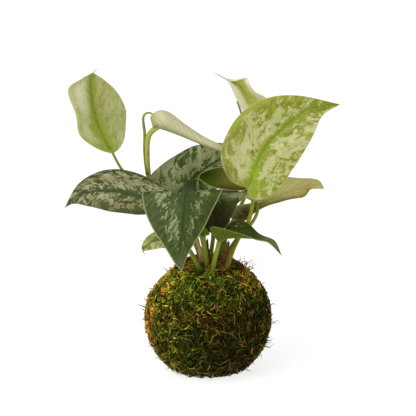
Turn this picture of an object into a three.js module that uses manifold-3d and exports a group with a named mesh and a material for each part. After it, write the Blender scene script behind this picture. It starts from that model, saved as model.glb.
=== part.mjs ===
// Kokedama: a ball of potting soil wrapped in a moss mat, planted with a young satin pothos.
// Millimetres, +Z up, -Y is the front. The origin is the centre of the flat spot the ball rests on.
import * as THREE from "three";
import { mergeVertices } from "three/addons/utils/BufferGeometryUtils.js";
import Module from "manifold-3d";

const wasm = await Module();
wasm.setup();

// Ball: driving dimensions
const BALL_RADIUS = 54.5; // outer face of the moss mat
const BALL_CENTRE_Z = 48; // the ball is pressed 6.5 mm into its flat resting spot
const MAT_THICKNESS = 6.5;
const FLOOR_THICKNESS = 6; // the mat under the soil
const CROWN_RADIUS = 25; // round opening in the mat, where the stems come out
const SOIL_DOME = 3.5; // how far the soil swells above the mat's lip
const THREAD_RADIUS = 0.25;
const THREAD_STANDOFF = 0.7; // from the mat's outer face to the thread's centre line
const THREAD_TURNS = 5;
const THREAD_LOW_Z = 7;
const THREAD_HIGH_Z = 90;

// Plant: driving dimensions
const BLADE_THICKNESS = 0.8; // at the midrib
const MARGIN_THICKNESS = 0.5;
const ROLL_THICKNESS = 0.4;
const ROOT_DEPTH = 8; // how far a petiole goes into the soil below its first point
const DRY_SHEATH_DEPTH = 4;
const GAP = 0.3; // clearance between neighbours
const SOCKET_CLEARANCE = 0.45; // round clearance of a petiole's socket in soil and moss

// Fineness
const BALL_SEGMENTS = 32;
const OUTER_ARC_STEPS = 12;
const INNER_ARC_STEPS = 10;
const DOME_STEPS = 4;
const STEM_SIDES = 8;
const STEM_STEP = 11; // mm of stem per step
const MIN_STEM_STEPS = 4;
const TRIM_SIDES = 6;
const THREAD_STEPS_PER_TURN = 30;
const MERGE_DISTANCE = 1e-4;
const CURVE_TENSION = 0.5;
const BLADE_ROWS = 14;
const BLADE_HALF_COLUMNS = 2;
const ROLL_ROWS = 9;
const ROLL_COLUMNS = 18;

// Blades. Each rib is [left margin, midrib, right margin], seen from the leaf's upper side with
// its tip forward; belly lifts the left and right halves off the straight line of the rib.
const BLADES = {
  leaf_upper_left: {
    colour: "#a5a569",
    belly: [1.5, -1.5],
    base: [-84, 30, 188],
    ribs: [
      [[-94, 31.5, 190.5], [-87.5, 32.5, 193.5], [-78.5, 32.5, 192]],
      [[-105, 32.5, 196.5], [-92.5, 36.5, 203], [-74, 35, 200]],
      [[-113.5, 32.5, 205.5], [-97, 40, 213], [-72.5, 39.5, 213.5]],
      [[-116.5, 36.5, 222], [-100.5, 44.5, 225], [-73, 45, 226.5]],
      [[-123.5, 44.5, 242.5], [-103.5, 50, 240], [-81.5, 51.5, 241]],
      [[-112, 52, 251.5], [-103.5, 54, 250.5], [-92.5, 55, 250.5]],
    ],
    tip: [-102.5, 57.5, 256],
  },
  leaf_upper_right: {
    colour: "#b9b97d",
    belly: [1.5, 2],
    base: [38.5, -18, 177.5],
    ribs: [
      [[34.5, -18, 170], [38.5, -18, 178], [34, -20, 166]],
      [[26.5, -15.5, 168.5], [39.5, -17.5, 180.5], [37, -24, 159]],
      [[17, -11, 175], [41.5, -16, 187], [47.5, -27.5, 159.5]],
      [[11, -6.5, 191], [45.5, -13.5, 195.5], [60.5, -29, 168.5]],
      [[15.5, -5, 210.5], [51.5, -11.5, 204.5], [72, -28.5, 185.5]],
      [[28, -4, 229], [60.5, -11, 214], [81.5, -26.5, 200]],
      [[49.5, -5.5, 242.5], [73, -11, 225], [90, -23.5, 215.5]],
      [[76.5, -9.5, 245.5], [87.5, -12, 234.5], [97.5, -19, 230]],
    ],
    tip: [112.5, -13, 238.5],
  },
  leaf_left: {
    colour: "#5d6f47",
    belly: [2, 2.5],
    base: [-34.5, -2, 154],
    ribs: [
      [[-42.5, -7.5, 145.5], [-41.5, -1.5, 154], [-35, 5.5, 160]],
      [[-54.5, -5.5, 141], [-53.5, -2, 155.5], [-49, 16, 167.5]],
      [[-70, -2.5, 141], [-68.5, 1, 158.5], [-67.5, 24.5, 173.5]],
      [[-87, -0.5, 143], [-83.5, 4, 160.5], [-88, 27, 174.5]],
      [[-103.5, 2.5, 146.5], [-99, 5, 159.5], [-103.5, 23.5, 170]],
      [[-116, 1.5, 149], [-113, 4, 156], [-115.5, 14, 161.5]],
    ],
    tip: [-124.5, -0.5, 146],
  },
  leaf_front: {
    colour: "#64784a",
    belly: [1, 1],
    base: [-18, -18, 158],
    ribs: [
      [[3.5, -12, 158.5], [-18, -23, 162], [-48, -12, 158]],
      [[12, -27, 167], [-18, -33, 165.5], [-56, -25, 164.5]],
      [[4, -38, 152], [-19.5, -43, 156.5], [-53, -37, 149.5]],
      [[-3.5, -46, 138], [-21, -50, 141], [-46, -46, 136]],
      [[-11.5, -52, 126], [-23, -55, 125], [-36, -52, 122]],
      [[-18, -55, 114.5], [-23, -57, 112.5], [-28, -55, 109.5]],
    ],
    tip: [-22, -55, 102.5],
  },
  leaf_back: {
    colour: "#566a40",
    belly: [1.5, 1.5],
    base: [-25.5, 20, 153],
    ribs: [
      [[-38.5, 20.5, 154.5], [-23.5, 22.5, 155.5], [-17.5, 17, 149]],
      [[-50.5, 27, 167], [-18.5, 28, 160.5], [-3.5, 19.5, 152]],
      [[-42.8, 35, 175.5], [-10.5, 35.5, 166.5], [9, 24.5, 158.5]],
      [[-28.5, 46, 184], [-1, 42, 173.5], [20.5, 32, 166]],
      [[-10.5, 53.5, 191.5], [10, 48, 179], [26.5, 40, 173.5]],
      [[10.5, 57.5, 193], [20.5, 52, 184.5], [31, 48.5, 181]],
    ],
    tip: [34, 56.5, 188.5],
  },
  leaf_curled: {
    colour: "#4c5a14",
    belly: [2, 1.5],
    base: [33.5, 2, 161.5],
    ribs: [
      [[30, -3, 169], [28.5, 4, 163.5], [25, -6, 162]],
      [[20.5, -4, 179], [20, 5, 167], [18, -8, 162.8]],
      [[12, -5, 183], [11.5, 4, 171], [10.5, -9, 164.2]],
      [[2.5, -6, 181.5], [2.5, 1, 173.5], [3.5, -9, 166]],
      [[-4.5, -6, 178.5], [-4.5, -1, 174], [-3.5, -8, 169.5]],
      [[-8, -6, 175], [-8.5, -5, 173.5], [-7.5, -6.5, 172]],
      [[-9.5, -8, 166.5], [-9, -8.5, 166.5], [-8, -8, 166.5]],
    ],
    tip: [-8, -10, 160.5],
  },
  leaf_twisted: {
    colour: "#c3c08c",
    belly: [2, -2],
    base: [47, 50, 209.5],
    ribs: [
      [[41.5, 45, 213], [46, 52, 215.5], [53, 48, 218]],
      [[34.5, 40, 220], [42.5, 55, 221.5], [55.5, 44, 227.5]],
      [[30, 38, 226.5], [38.5, 56, 226.5], [51, 40, 236]],
      [[24.5, 38, 237], [34, 56, 234.5], [42, 40, 241]],
      [[20, 40, 246.5], [29, 54, 243], [36.5, 42, 247.5]],
      [[16.5, 43, 251.5], [23, 50, 248], [33.5, 46, 252]],
      [[13, 46, 254], [15, 48, 253], [18, 47, 252.5]],
    ],
    tip: [5.5, 48, 257.5],
  },
  leaf_lower_right: {
    colour: "#a09655",
    belly: [2, 2],
    base: [42.5, 20, 145.5],
    ribs: [
      [[21, 12, 144], [43.5, 20, 146.5], [28.5, 9, 156]],
      [[20.5, 15, 133], [45.5, 21.5, 147], [34, 7, 165]],
      [[32.5, 16, 130.5], [49.5, 24.5, 148], [43.5, 5, 169]],
      [[43.5, 21, 138.5], [57.5, 29.5, 150], [55.5, 7, 171]],
      [[64.5, 31.5, 144.5], [72, 35, 153], [70, 14.5, 170]],
      [[85, 43, 146.5], [85.5, 41, 156], [84.5, 26, 167]],
      [[92, 42.5, 153.5], [96, 44, 157.5], [96.5, 37, 162.5]],
    ],
    tip: [104.5, 53, 152],
  },
  leaf_small_right: {
    colour: "#4f6a22",
    belly: [2, 2],
    base: [9, -27, 121],
    ribs: [
      [[13, -20, 127], [11, -28, 123], [2, -37, 134]],
      [[18.5, -16, 135], [15.5, -30, 126], [4.5, -42, 138.5]],
      [[28.5, -16, 138.5], [23.5, -33, 127.5], [15, -46, 137]],
      [[36.5, -22, 135.5], [32.5, -36, 128], [27, -46, 133]],
      [[44.5, -30, 129], [42, -40, 128], [40.5, -45, 128]],
      [[55.5, -39, 125], [51, -43, 125.5], [51, -46, 124.5]],
    ],
    tip: [61.5, -47, 114],
  },
  leaf_shaded: {
    colour: "#4a5232",
    belly: [1.5, 1.5],
    base: [1.5, 10, 158],
    ribs: [
      [[13, 8, 159], [1.5, 9, 159.5], [-9.5, 10, 168.5]],
      [[32.5, -5, 160.5], [2.5, 5, 159.5], [-20.5, 7, 166.5]],
      [[29.5, -11, 157.5], [3.5, -6, 156.5], [-21.5, 2, 158.5]],
      [[24.5, -13, 150.5], [4.5, -10, 147.5], [-17.5, -3, 148]],
      [[20, -14, 140.5], [5, -12, 139.5], [-11, -7, 138]],
      [[15.5, -14, 132], [6, -13, 130], [-4.5, -10, 130]],
    ],
    tip: [8, -14, 123.5],
  },
  leaf_small_left: {
    colour: "#a8b069",
    belly: [1, 1],
    base: [-28.5, -8, 119],
    ribs: [
      [[-33.5, -14.5, 114], [-34.5, -8, 119.5], [-35.5, 1.5, 124.5]],
      [[-42, -14.5, 113], [-42.5, -6.5, 119.5], [-45, 3, 124.5]],
      [[-50, -13.5, 111.5], [-49, -8.5, 117.5], [-52, 1, 121]],
      [[-55, -14, 110.5], [-53, -11, 114], [-56.5, -5.5, 116]],
      [[-56, -15, 110], [-56.5, -13, 111], [-57.5, -11.5, 112]],
    ],
    tip: [-54.5, -17, 107.5],
  },
  leaf_hidden: {
    colour: "#5c701c",
    belly: [1, 1],
    base: [-3.5, -18, 124.5],
    ribs: [
      [[-1.5, -22, 124.5], [-5, -19, 127], [1.5, -14, 125.5]],
      [[-7.5, -27, 126], [-9.5, -24, 130], [-2.5, -16, 132]],
      [[-13.5, -33, 126.5], [-14.5, -28, 132], [-11, -23, 137]],
      [[-18, -36, 125.5], [-18.5, -32, 130], [-18, -29, 136]],
    ],
    tip: [-23, -37, 124],
  },
};

// The unfurling leaf is still a tapering roll around this axis, with its radius at each point.
const ROLL = {
  colour: "#b4af82",
  axis: [[-47.5, 6, 221.5], [-39, 6, 223], [-22.5, 5, 214], [-5.5, 4, 205], [11, 3, 197.5], [18, 3, 194]],
  radius: [4.2, 8.6, 5.9, 3.9, 2.9, 2.2],
  turns: 1.25,
  innerShare: 0.74, // radius of the roll's inner edge, as a share of the outer edge's
  startAngle: 2.2,
};

// Petioles, from the crown up to the underside of each blade. They go on ROOT_DEPTH into the soil.
const PETIOLES = {
  petiole_upper_left: { radius: 1.8, points: [
    [-5.5, 9, 95], [-9, 11, 105.5], [-19.5, 15, 124.5], [-42, 23, 144.5], [-63.5, 30, 158.5],
    [-75, 32, 174], [-83.8, 31.9, 187.3]] },
  petiole_left: { radius: 1.8, points: [
    [-6, 1, 97], [-9, 1, 108], [-13, 0, 118], [-22.5, -2, 140.5], [-29, -4, 149], [-34.6, -4.2, 152.7]] },
  petiole_front: { radius: 1.8, points: [
    [-4.5, -8, 98.5], [-7.5, -11, 111], [-11.5, -17, 130], [-15, -20, 147], [-17, -18.6, 157.1]] },
  petiole_back: { radius: 1.8, points: [
    [-0.5, 12, 97], [-3.5, 13, 108], [-8, 18, 124], [-17.5, 22, 142], [-24.5, 21, 150.7]] },
  petiole_unfurling: { radius: 1.8, points: [
    [-4.5, 18, 98.5], [-10.5, 22, 109.5], [-26.5, 28, 131.5], [-42.5, 28, 147], [-50, 25, 158.5],
    [-52, 21, 169], [-54, 14, 187], [-52.5, 10, 202], [-49.5, 8, 210], [-44.2, 6.7, 216]] },
  petiole_curled: { radius: 1.6, points: [
    [14, -4, 99.5], [14.5, -3, 113], [16, 0, 124.5], [18.5, 2, 138], [23, 3, 148],
    [29.5, 3, 154.5], [33.4, 2.4, 160.3]] },
  petiole_upper_right: { radius: 2.4, points: [
    [16, -16, 98.5], [20.5, -15, 112.5], [26.5, -14, 124], [35.5, -13, 138.5], [38.5, -13, 155],
    [38, -15.2, 174.2]] },
  petiole_twisted: { radius: 1.8, points: [
    [9, 6, 98], [13, 11, 110], [16.5, 17, 120.5], [29.5, 33, 141.5], [43, 48, 174.5], [47.1, 52, 208.6]] },
  petiole_lower_right: { radius: 1.6, points: [
    [14, 1, 99], [22.5, 5, 113], [31.5, 8, 123], [38.5, 9, 130.5], [44, 12, 139.5], [41.8, 17.1, 145.7]] },
  petiole_small_right: { radius: 2.1, points: [
    [4, -24, 96.5], [6, -26, 107.5], [8, -27.5, 115.5], [9.4, -27.4, 120]] },
  petiole_shaded: { radius: 1.8, points: [
    [2, -1, 102], [3.5, 1, 111.5], [4.5, 5, 120.5], [3.5, 13, 139.5], [1.6, 12.5, 157.4]] },
  petiole_small_left: { radius: 2, points: [
    [-7.5, -22, 97], [-11.5, -20, 105], [-17, -17, 113], [-23, -12, 117], [-28.1, -9.2, 118.5]] },
  petiole_hidden: { radius: 2.3, points: [
    [-1, -18, 98], [-2.5, -18, 110.5], [-3.5, -18, 117.5], [-3.5, -18.2, 123.7]] },
};

// Leaf sheaths: the slim tails of two live ones, and three dried ones standing in the crown.
const LIVE_SHEATHS = {
  sheath_unfurling: { radius: 0.8, points: [
    [-56.5, 9.5, 202], [-56.3, 9, 210], [-56.2, 8.5, 216.5], [-56.7, 8, 222.5], [-56, 7.5, 226.5],
    [-53, 7, 229], [-49.5, 6.5, 229.2]] },
  sheath_twisted: { radius: 0.8, points: [
    [40.5, 46, 184], [36.5, 44, 200.5], [31.5, 42, 214.5], [28.5, 41, 225], [25.5, 41, 233]] },
};
const DRY_SHEATHS = {
  dry_sheath_left: { radius: 1.1, points: [[-4.5, -13, 102], [-6.8, -17.5, 113.5], [-9, -21, 121]] },
  dry_sheath_middle: { radius: 0.6, points: [[0.5, -10, 102], [0, -10, 112.5], [-1, -9.5, 119]] },
  dry_sheath_right: { radius: 1.1, points: [[13, -11.5, 101], [15.5, -11, 112], [17.5, -10.5, 117.5]] },
};

const FINISHES = {
  moss: { color: "#4b5a17", roughness: 1 },
  soil: { color: "#3a2a1c", roughness: 0.95 },
  thread: { color: "#39401c", roughness: 0.8 },
  stalk: { color: "#8f9a35", roughness: 0.45 },
  dry: { color: "#8a6a3c", roughness: 0.9 },
};
const BLADE_ROUGHNESS = 0.4;

const group = new THREE.Group();

function addPiece(name, geometry, finish) {
  const material = new THREE.MeshStandardMaterial({ ...finish, metalness: 0 });
  const mesh = new THREE.Mesh(geometry, material);
  mesh.name = name;
  group.add(mesh);
}

// Merges a geometry's shared vertices, drops triangles that have no area, and turns it inside out
// where its volume comes out negative.
function closedBody(geometry) {
  const bare = geometry.clone();
  bare.deleteAttribute("normal");
  bare.deleteAttribute("uv");
  const merged = mergeVertices(bare, MERGE_DISTANCE);
  const source = merged.index.array;
  const place = merged.attributes.position;
  const kept = [];
  let volume = 0;
  const [a, b, c] = [new THREE.Vector3(), new THREE.Vector3(), new THREE.Vector3()];
  for (let i = 0; i < source.length; i += 3) {
    const [p, q, r] = [source[i], source[i + 1], source[i + 2]];
    if (p === q || q === r || r === p) continue;
    kept.push(p, q, r);
    a.fromBufferAttribute(place, p);
    b.fromBufferAttribute(place, q);
    c.fromBufferAttribute(place, r);
    volume += a.dot(b.cross(c));
  }
  if (volume < 0) kept.reverse();
  merged.setIndex(kept);
  return merged;
}

function toManifold(geometry) {
  const body = closedBody(geometry);
  const vertProperties = new Float32Array(body.attributes.position.array);
  const triVerts = new Uint32Array(body.index.array);
  return new wasm.Manifold(new wasm.Mesh({ numProp: 3, vertProperties, triVerts }));
}

function fromManifold(solid) {
  const mesh = solid.getMesh();
  const geometry = new THREE.BufferGeometry();
  geometry.setAttribute("position", new THREE.BufferAttribute(mesh.vertProperties, 3));
  geometry.setIndex(new THREE.BufferAttribute(mesh.triVerts, 1));
  return geometry;
}

// Points of an arc of the ball's section, as [radius, height], between two heights.
function ballArc(radius, fromZ, toZ, steps) {
  const angle = (z) => Math.asin((z - BALL_CENTRE_Z) / radius);
  const points = [];
  for (let i = 0; i <= steps; i += 1) {
    const turn = THREE.MathUtils.lerp(angle(fromZ), angle(toZ), i / steps);
    points.push(new THREE.Vector2(radius * Math.cos(turn), BALL_CENTRE_Z + radius * Math.sin(turn)));
  }
  return points;
}

function sphereHeight(radius, across) {
  return BALL_CENTRE_Z + Math.sqrt(radius ** 2 - across ** 2);
}

function turned(profile) {
  const geometry = new THREE.LatheGeometry(profile, BALL_SEGMENTS);
  geometry.rotateX(Math.PI / 2);
  return geometry;
}

function mossMat() {
  const inside = BALL_RADIUS - MAT_THICKNESS;
  const outer = ballArc(BALL_RADIUS, 0, sphereHeight(BALL_RADIUS, CROWN_RADIUS), OUTER_ARC_STEPS);
  const inner = ballArc(inside, sphereHeight(inside, CROWN_RADIUS), FLOOR_THICKNESS, INNER_ARC_STEPS);
  const bottom = new THREE.Vector2(0, 0);
  const floor = new THREE.Vector2(0, FLOOR_THICKNESS);
  return turned([bottom, ...outer, ...inner, floor]);
}

function soilBall() {
  const radius = BALL_RADIUS - MAT_THICKNESS - GAP;
  const neck = CROWN_RADIUS - GAP;
  const low = FLOOR_THICKNESS + GAP;
  const lip = sphereHeight(BALL_RADIUS, CROWN_RADIUS);
  const side = ballArc(radius, low, sphereHeight(radius, neck), INNER_ARC_STEPS);
  const dome = [];
  for (let i = 0; i <= DOME_STEPS; i += 1) {
    const share = 1 - i / DOME_STEPS;
    dome.push(new THREE.Vector2(neck * share, lip + SOIL_DOME * (1 - share ** 2)));
  }
  return turned([new THREE.Vector2(0, low), ...side, ...dome]);
}

class ThreadWinding extends THREE.Curve {
  getPoint(t) {
    const reach = BALL_RADIUS + THREAD_STANDOFF;
    const z = THREE.MathUtils.lerp(THREAD_LOW_Z, THREAD_HIGH_Z, t);
    const across = Math.sqrt(reach ** 2 - (z - BALL_CENTRE_Z) ** 2);
    const turn = 2 * Math.PI * THREAD_TURNS * t;
    return new THREE.Vector3(across * Math.cos(turn), across * Math.sin(turn), z);
  }
}

function section(radius, sides) {
  const corners = [];
  for (let i = 0; i < sides; i += 1) {
    const turn = (2 * Math.PI * i) / sides;
    corners.push(new THREE.Vector2(radius * Math.cos(turn), radius * Math.sin(turn)));
  }
  return new THREE.Shape(corners);
}

function tube(path, radius, sides, steps) {
  const options = { steps, bevelEnabled: false, extrudePath: path };
  return new THREE.ExtrudeGeometry(section(radius, sides), options);
}

function smoothPath(points) {
  const vectors = points.map((point) => new THREE.Vector3(...point));
  return new THREE.CatmullRomCurve3(vectors, false, "catmullrom", CURVE_TENSION);
}

// A stem's path, carried on straight into the soil by the given depth.
function rootedPath(points, depth) {
  const first = new THREE.Vector3(...points[0]);
  const second = new THREE.Vector3(...points[1]);
  const root = first.clone().add(first.clone().sub(second).setLength(depth));
  return smoothPath([root.toArray(), ...points]);
}

function stepsFor(path) {
  return Math.max(MIN_STEM_STEPS, Math.round(path.getLength() / STEM_STEP));
}

// A thin sheet through rows of points: half its thickness on either side, closed at all four
// borders. normalAt gives the way up at row i and column j.
function sheet(rows, normalAt, halfThickness) {
  const last = rows.length - 1;
  const edge = rows[0].length - 1;
  const places = [];
  rows.forEach((row, i) => row.forEach((point, j) => {
    const normal = normalAt(i, j);
    const half = halfThickness(i, j);
    places.push(...point.clone().addScaledVector(normal, half).toArray());
    places.push(...point.clone().addScaledVector(normal, -half).toArray());
  }));
  const faces = [];
  const upper = (i, j) => 2 * (i * (edge + 1) + j);
  const lower = (i, j) => upper(i, j) + 1;
  const quad = (a, b, c, d) => faces.push(a, b, c, a, c, d);
  for (let i = 0; i < last; i += 1) {
    for (let j = 0; j < edge; j += 1) {
      quad(upper(i, j), upper(i, j + 1), upper(i + 1, j + 1), upper(i + 1, j));
      quad(lower(i, j), lower(i + 1, j), lower(i + 1, j + 1), lower(i, j + 1));
    }
    quad(upper(i, 0), upper(i + 1, 0), lower(i + 1, 0), lower(i, 0));
    quad(upper(i, edge), lower(i, edge), lower(i + 1, edge), upper(i + 1, edge));
  }
  for (let j = 0; j < edge; j += 1) {
    quad(upper(0, j), lower(0, j), lower(0, j + 1), upper(0, j + 1));
    quad(upper(last, j), upper(last, j + 1), lower(last, j + 1), lower(last, j));
  }
  const geometry = new THREE.BufferGeometry();
  geometry.setAttribute("position", new THREE.Float32BufferAttribute(places, 3));
  geometry.setIndex(faces);
  return closedBody(geometry);
}

// The way up of a grid of points at row i and column j, from its neighbours.
function gridNormal(rows, i, j) {
  const last = rows.length - 1;
  const edge = rows[0].length - 1;
  const across = rows[i][Math.min(j + 1, edge)].clone().sub(rows[i][Math.max(j - 1, 0)]);
  const along = rows[Math.min(i + 1, last)][j].clone().sub(rows[Math.max(i - 1, 0)][j]);
  return across.cross(along).normalize();
}

function blade({ base, ribs, tip, belly }) {
  const lines = [0, 1, 2].map((k) => {
    const path = smoothPath([base, ...ribs.map((rib) => rib[k]), tip]);
    return path.getPoints(BLADE_ROWS);
  });
  const widths = lines[0].map((left, i) => left.distanceTo(lines[2][i]));
  const widest = Math.max(...widths);
  const rows = [];
  for (let i = 0; i <= BLADE_ROWS; i += 1) {
    const [left, middle, right] = lines.map((line) => line[i]);
    const before = lines[1][Math.max(i - 1, 0)];
    const after = lines[1][Math.min(i + 1, BLADE_ROWS)];
    const up = right.clone().sub(left).cross(after.clone().sub(before)).normalize();
    const row = [];
    for (let j = -BLADE_HALF_COLUMNS; j <= BLADE_HALF_COLUMNS; j += 1) {
      const share = Math.abs(j) / BLADE_HALF_COLUMNS;
      const swell = belly[j < 0 ? 0 : 1] * 4 * share * (1 - share) * (widths[i] / widest); // full mid-way
      row.push(middle.clone().lerp(j < 0 ? left : right, share).addScaledVector(up, swell));
    }
    rows.push(row);
  }
  // Base and tip are single points: there every column has the midrib's way up and one thickness.
  const isEnd = (i) => i === 0 || i === BLADE_ROWS;
  const half = (i, j) => {
    const share = isEnd(i) ? 1 : Math.abs(j - BLADE_HALF_COLUMNS) / BLADE_HALF_COLUMNS;
    return THREE.MathUtils.lerp(BLADE_THICKNESS, MARGIN_THICKNESS, share) / 2;
  };
  const normalAt = (i, j) => {
    const inner = THREE.MathUtils.clamp(i, 1, BLADE_ROWS - 1);
    return gridNormal(rows, inner, isEnd(i) ? BLADE_HALF_COLUMNS : j);
  };
  return sheet(rows, normalAt, half);
}

function rolledBlade({ axis, radius, turns, innerShare, startAngle }) {
  const path = smoothPath(axis);
  const widths = smoothPath(radius.map((r) => [r, 0, 0]));
  const up = new THREE.Vector3(0, 0, 1);
  const rows = [];
  for (let i = 0; i <= ROLL_ROWS; i += 1) {
    const share = i / ROLL_ROWS;
    const centre = path.getPoint(share);
    const side = path.getTangent(share).cross(up).normalize();
    const lift = side.clone().cross(path.getTangent(share)).normalize();
    const row = [];
    for (let j = 0; j <= ROLL_COLUMNS; j += 1) {
      const angle = startAngle + 2 * Math.PI * turns * (j / ROLL_COLUMNS);
      const reach = widths.getPoint(share).x * THREE.MathUtils.lerp(innerShare, 1, j / ROLL_COLUMNS);
      const point = centre.clone().addScaledVector(side, reach * Math.cos(angle));
      row.push(point.addScaledVector(lift, reach * Math.sin(angle)));
    }
    rows.push(row);
  }
  return sheet(rows, (i, j) => gridNormal(rows, i, j), () => ROLL_THICKNESS / 2);
}

// Stems, and the sockets they leave in soil and moss
const sockets = [];

function addStem(name, { radius, points }, sides, depth, finish) {
  const path = depth > 0 ? rootedPath(points, depth) : smoothPath(points);
  addPiece(name, tube(path, radius, sides, stepsFor(path)), finish);
  if (depth > 0) {
    const cutPath = rootedPath(points, depth + GAP);
    sockets.push(toManifold(tube(cutPath, radius + SOCKET_CLEARANCE, sides, stepsFor(path))));
  }
}

for (const [name, stem] of Object.entries(PETIOLES)) {
  addStem(name, stem, STEM_SIDES, ROOT_DEPTH, FINISHES.stalk);
}
for (const [name, stem] of Object.entries(LIVE_SHEATHS)) {
  addStem(name, stem, TRIM_SIDES, 0, FINISHES.stalk);
}
for (const [name, stem] of Object.entries(DRY_SHEATHS)) {
  addStem(name, stem, TRIM_SIDES, DRY_SHEATH_DEPTH, FINISHES.dry);
}

for (const [name, leaf] of Object.entries(BLADES)) {
  addPiece(name, blade(leaf), { color: leaf.colour, roughness: BLADE_ROUGHNESS });
}
addPiece("leaf_unfurling", rolledBlade(ROLL), { color: ROLL.colour, roughness: BLADE_ROUGHNESS });

const cutAway = (geometry) => sockets.reduce((solid, socket) => solid.subtract(socket), toManifold(geometry));
addPiece("moss_mat", fromManifold(cutAway(mossMat())), FINISHES.moss);
addPiece("soil_ball", fromManifold(cutAway(soilBall())), FINISHES.soil);

const threadSteps = THREAD_TURNS * THREAD_STEPS_PER_TURN;
const threadGeometry = tube(new ThreadWinding(), THREAD_RADIUS, TRIM_SIDES, threadSteps);
addPiece("binding_thread", threadGeometry, FINISHES.thread);

export default group;
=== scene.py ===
"""A kokedama: a moss-wrapped ball of soil planted with a young satin pothos."""

import math

import bmesh
import bpy
import numpy as np
from mathutils import Matrix, Vector


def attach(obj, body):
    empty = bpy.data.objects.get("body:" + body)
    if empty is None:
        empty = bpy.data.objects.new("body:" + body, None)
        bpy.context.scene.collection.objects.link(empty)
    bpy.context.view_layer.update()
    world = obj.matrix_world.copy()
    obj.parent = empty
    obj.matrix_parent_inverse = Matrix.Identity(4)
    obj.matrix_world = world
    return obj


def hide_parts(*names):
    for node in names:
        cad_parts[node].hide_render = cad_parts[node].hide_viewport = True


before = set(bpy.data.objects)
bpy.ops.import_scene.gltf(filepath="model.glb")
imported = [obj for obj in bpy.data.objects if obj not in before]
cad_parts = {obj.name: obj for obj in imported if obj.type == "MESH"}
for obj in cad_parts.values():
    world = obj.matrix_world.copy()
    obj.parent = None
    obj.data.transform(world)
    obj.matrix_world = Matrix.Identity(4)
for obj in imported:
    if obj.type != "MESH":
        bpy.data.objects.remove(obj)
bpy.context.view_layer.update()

MM = 0.001
WELD = 1e-6

# The photograph's view: 12 degrees above level, from 1.5 m away.
VIEW_ELEVATION = math.radians(12)
VIEW_DISTANCE = 1.5
VIEW_TARGET = Vector((0, 0, 0.1456))
VIEW_LENS = 149.55
VIEW_SENSOR = 36

# The ball, in millimetres
BALL_RADIUS = 54.5
BALL_CENTRE = np.array([0.0, 0.0, 48.0])
CROWN_RADIUS = 25.0
FLOOR_GAP = 0.15

SHEET_THICKNESS = 0.95  # of a blade at its midrib


# ---- small tools

def unit(vectors):
    return vectors / np.maximum(np.linalg.norm(vectors, axis=-1, keepdims=True), 1e-12)


def smooth_curve(points, share):
    """Where a smooth curve through the points is, at shares 0 to 1 of its spans."""
    route = np.array(points, float)
    last = len(route) - 1
    padded = np.vstack([2 * route[0] - route[1], route, 2 * route[-1] - route[-2]])
    place = np.clip(share, 0, 1) * last
    span = np.minimum(place.astype(int), last - 1)
    t = (place - span)[:, None]
    before, start, end, after = (padded[span + k] for k in range(4))
    leaving = (end - before) / 2
    arriving = (after - start) / 2
    cubic = 2 * start - 2 * end + leaving + arriving
    square = -3 * start + 3 * end - 2 * leaving - arriving
    return cubic * t**3 + square * t**2 + leaving * t + start


def curve_direction(points, share, reach=0.01):
    ahead = smooth_curve(points, np.clip(share + reach, 0, 1))
    behind = smooth_curve(points, np.clip(share - reach, 0, 1))
    return unit(ahead - behind)


def curve_frame(points, share, face):
    """Where a curve is, the way it runs, and two ways across it, the first at right angles to face."""
    forward = curve_direction(points, share)
    side = unit(np.cross(forward, face))
    return smooth_curve(points, share), forward, side, np.cross(side, forward)


def round_curve(points, share, face, radius, turn):
    """Places round a curve, at a radius and a turn for each."""
    centre, _, side, lift = curve_frame(points, share, face)
    return centre + radius[:, None] * (np.cos(turn)[:, None] * side + np.sin(turn)[:, None] * lift)


def smooth_step(value, low, high):
    t = np.clip((value - low) / (high - low), 0, 1)
    return t * t * (3 - 2 * t)


def bell(value, width):
    return np.exp(-((value / width) ** 2))


NOISE_CELLS = 32
LATTICE = np.random.default_rng(7).random((NOISE_CELLS,) * 3)


def soft_noise(places, scale, shift=0.0):
    """Smooth noise from 0 to 1 at places in millimetres, with lumps about scale across."""
    at = places / scale + 100.0 + shift
    low = np.floor(at).astype(int)
    t = at - low
    t = t * t * (3 - 2 * t)
    total = 0
    for corner in np.ndindex(2, 2, 2):
        weight = np.prod([t[..., k] if corner[k] else 1 - t[..., k] for k in range(3)], axis=0)
        total = total + weight * LATTICE[tuple((low[..., k] + corner[k]) % NOISE_CELLS for k in range(3))]
    return total


def as_light(colours):
    """Colours given as seen on a screen, 0 to 255, as light."""
    shares = np.array(colours) / 255
    return np.where(shares <= 0.04045, shares / 12.92, ((shares + 0.055) / 1.055) ** 2.4)


def shaped_grid(columns, rows, shape):
    """A grid of quads that shape moves into place, in millimetres.

    What else shape gives is kept as layers, its body as the weights that keep_sheet uses.
    """
    bm = bmesh.new()
    bmesh.ops.create_grid(bm, x_segments=columns, y_segments=rows, size=1.0)
    flat = np.array([vert.co for vert in bm.verts])
    places, layers = shape(flat[:, 0], (flat[:, 1] + 1) / 2)
    body = layers.pop("body", None)
    kinds = bm.verts.layers
    keys = [((kinds.float_vector if np.ndim(values) == 2 else kinds.float).new(name), values.tolist())
            for name, values in layers.items()]
    weight = kinds.deform.verify() if body is not None else None
    for k, (vert, place) in enumerate(zip(bm.verts, (places * MM).tolist())):
        vert.co = place
        for key, values in keys:
            vert[key] = values[k]
        if weight:
            vert[weight][0] = float(body[k])
    bmesh.ops.remove_doubles(bm, verts=bm.verts, dist=WELD)
    return bm


def as_mesh(name, bm):
    mesh = bpy.data.meshes.new(name)
    bm.to_mesh(mesh)
    bm.free()
    return mesh


def show(thing):
    bpy.context.scene.collection.objects.link(thing)
    return thing


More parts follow.
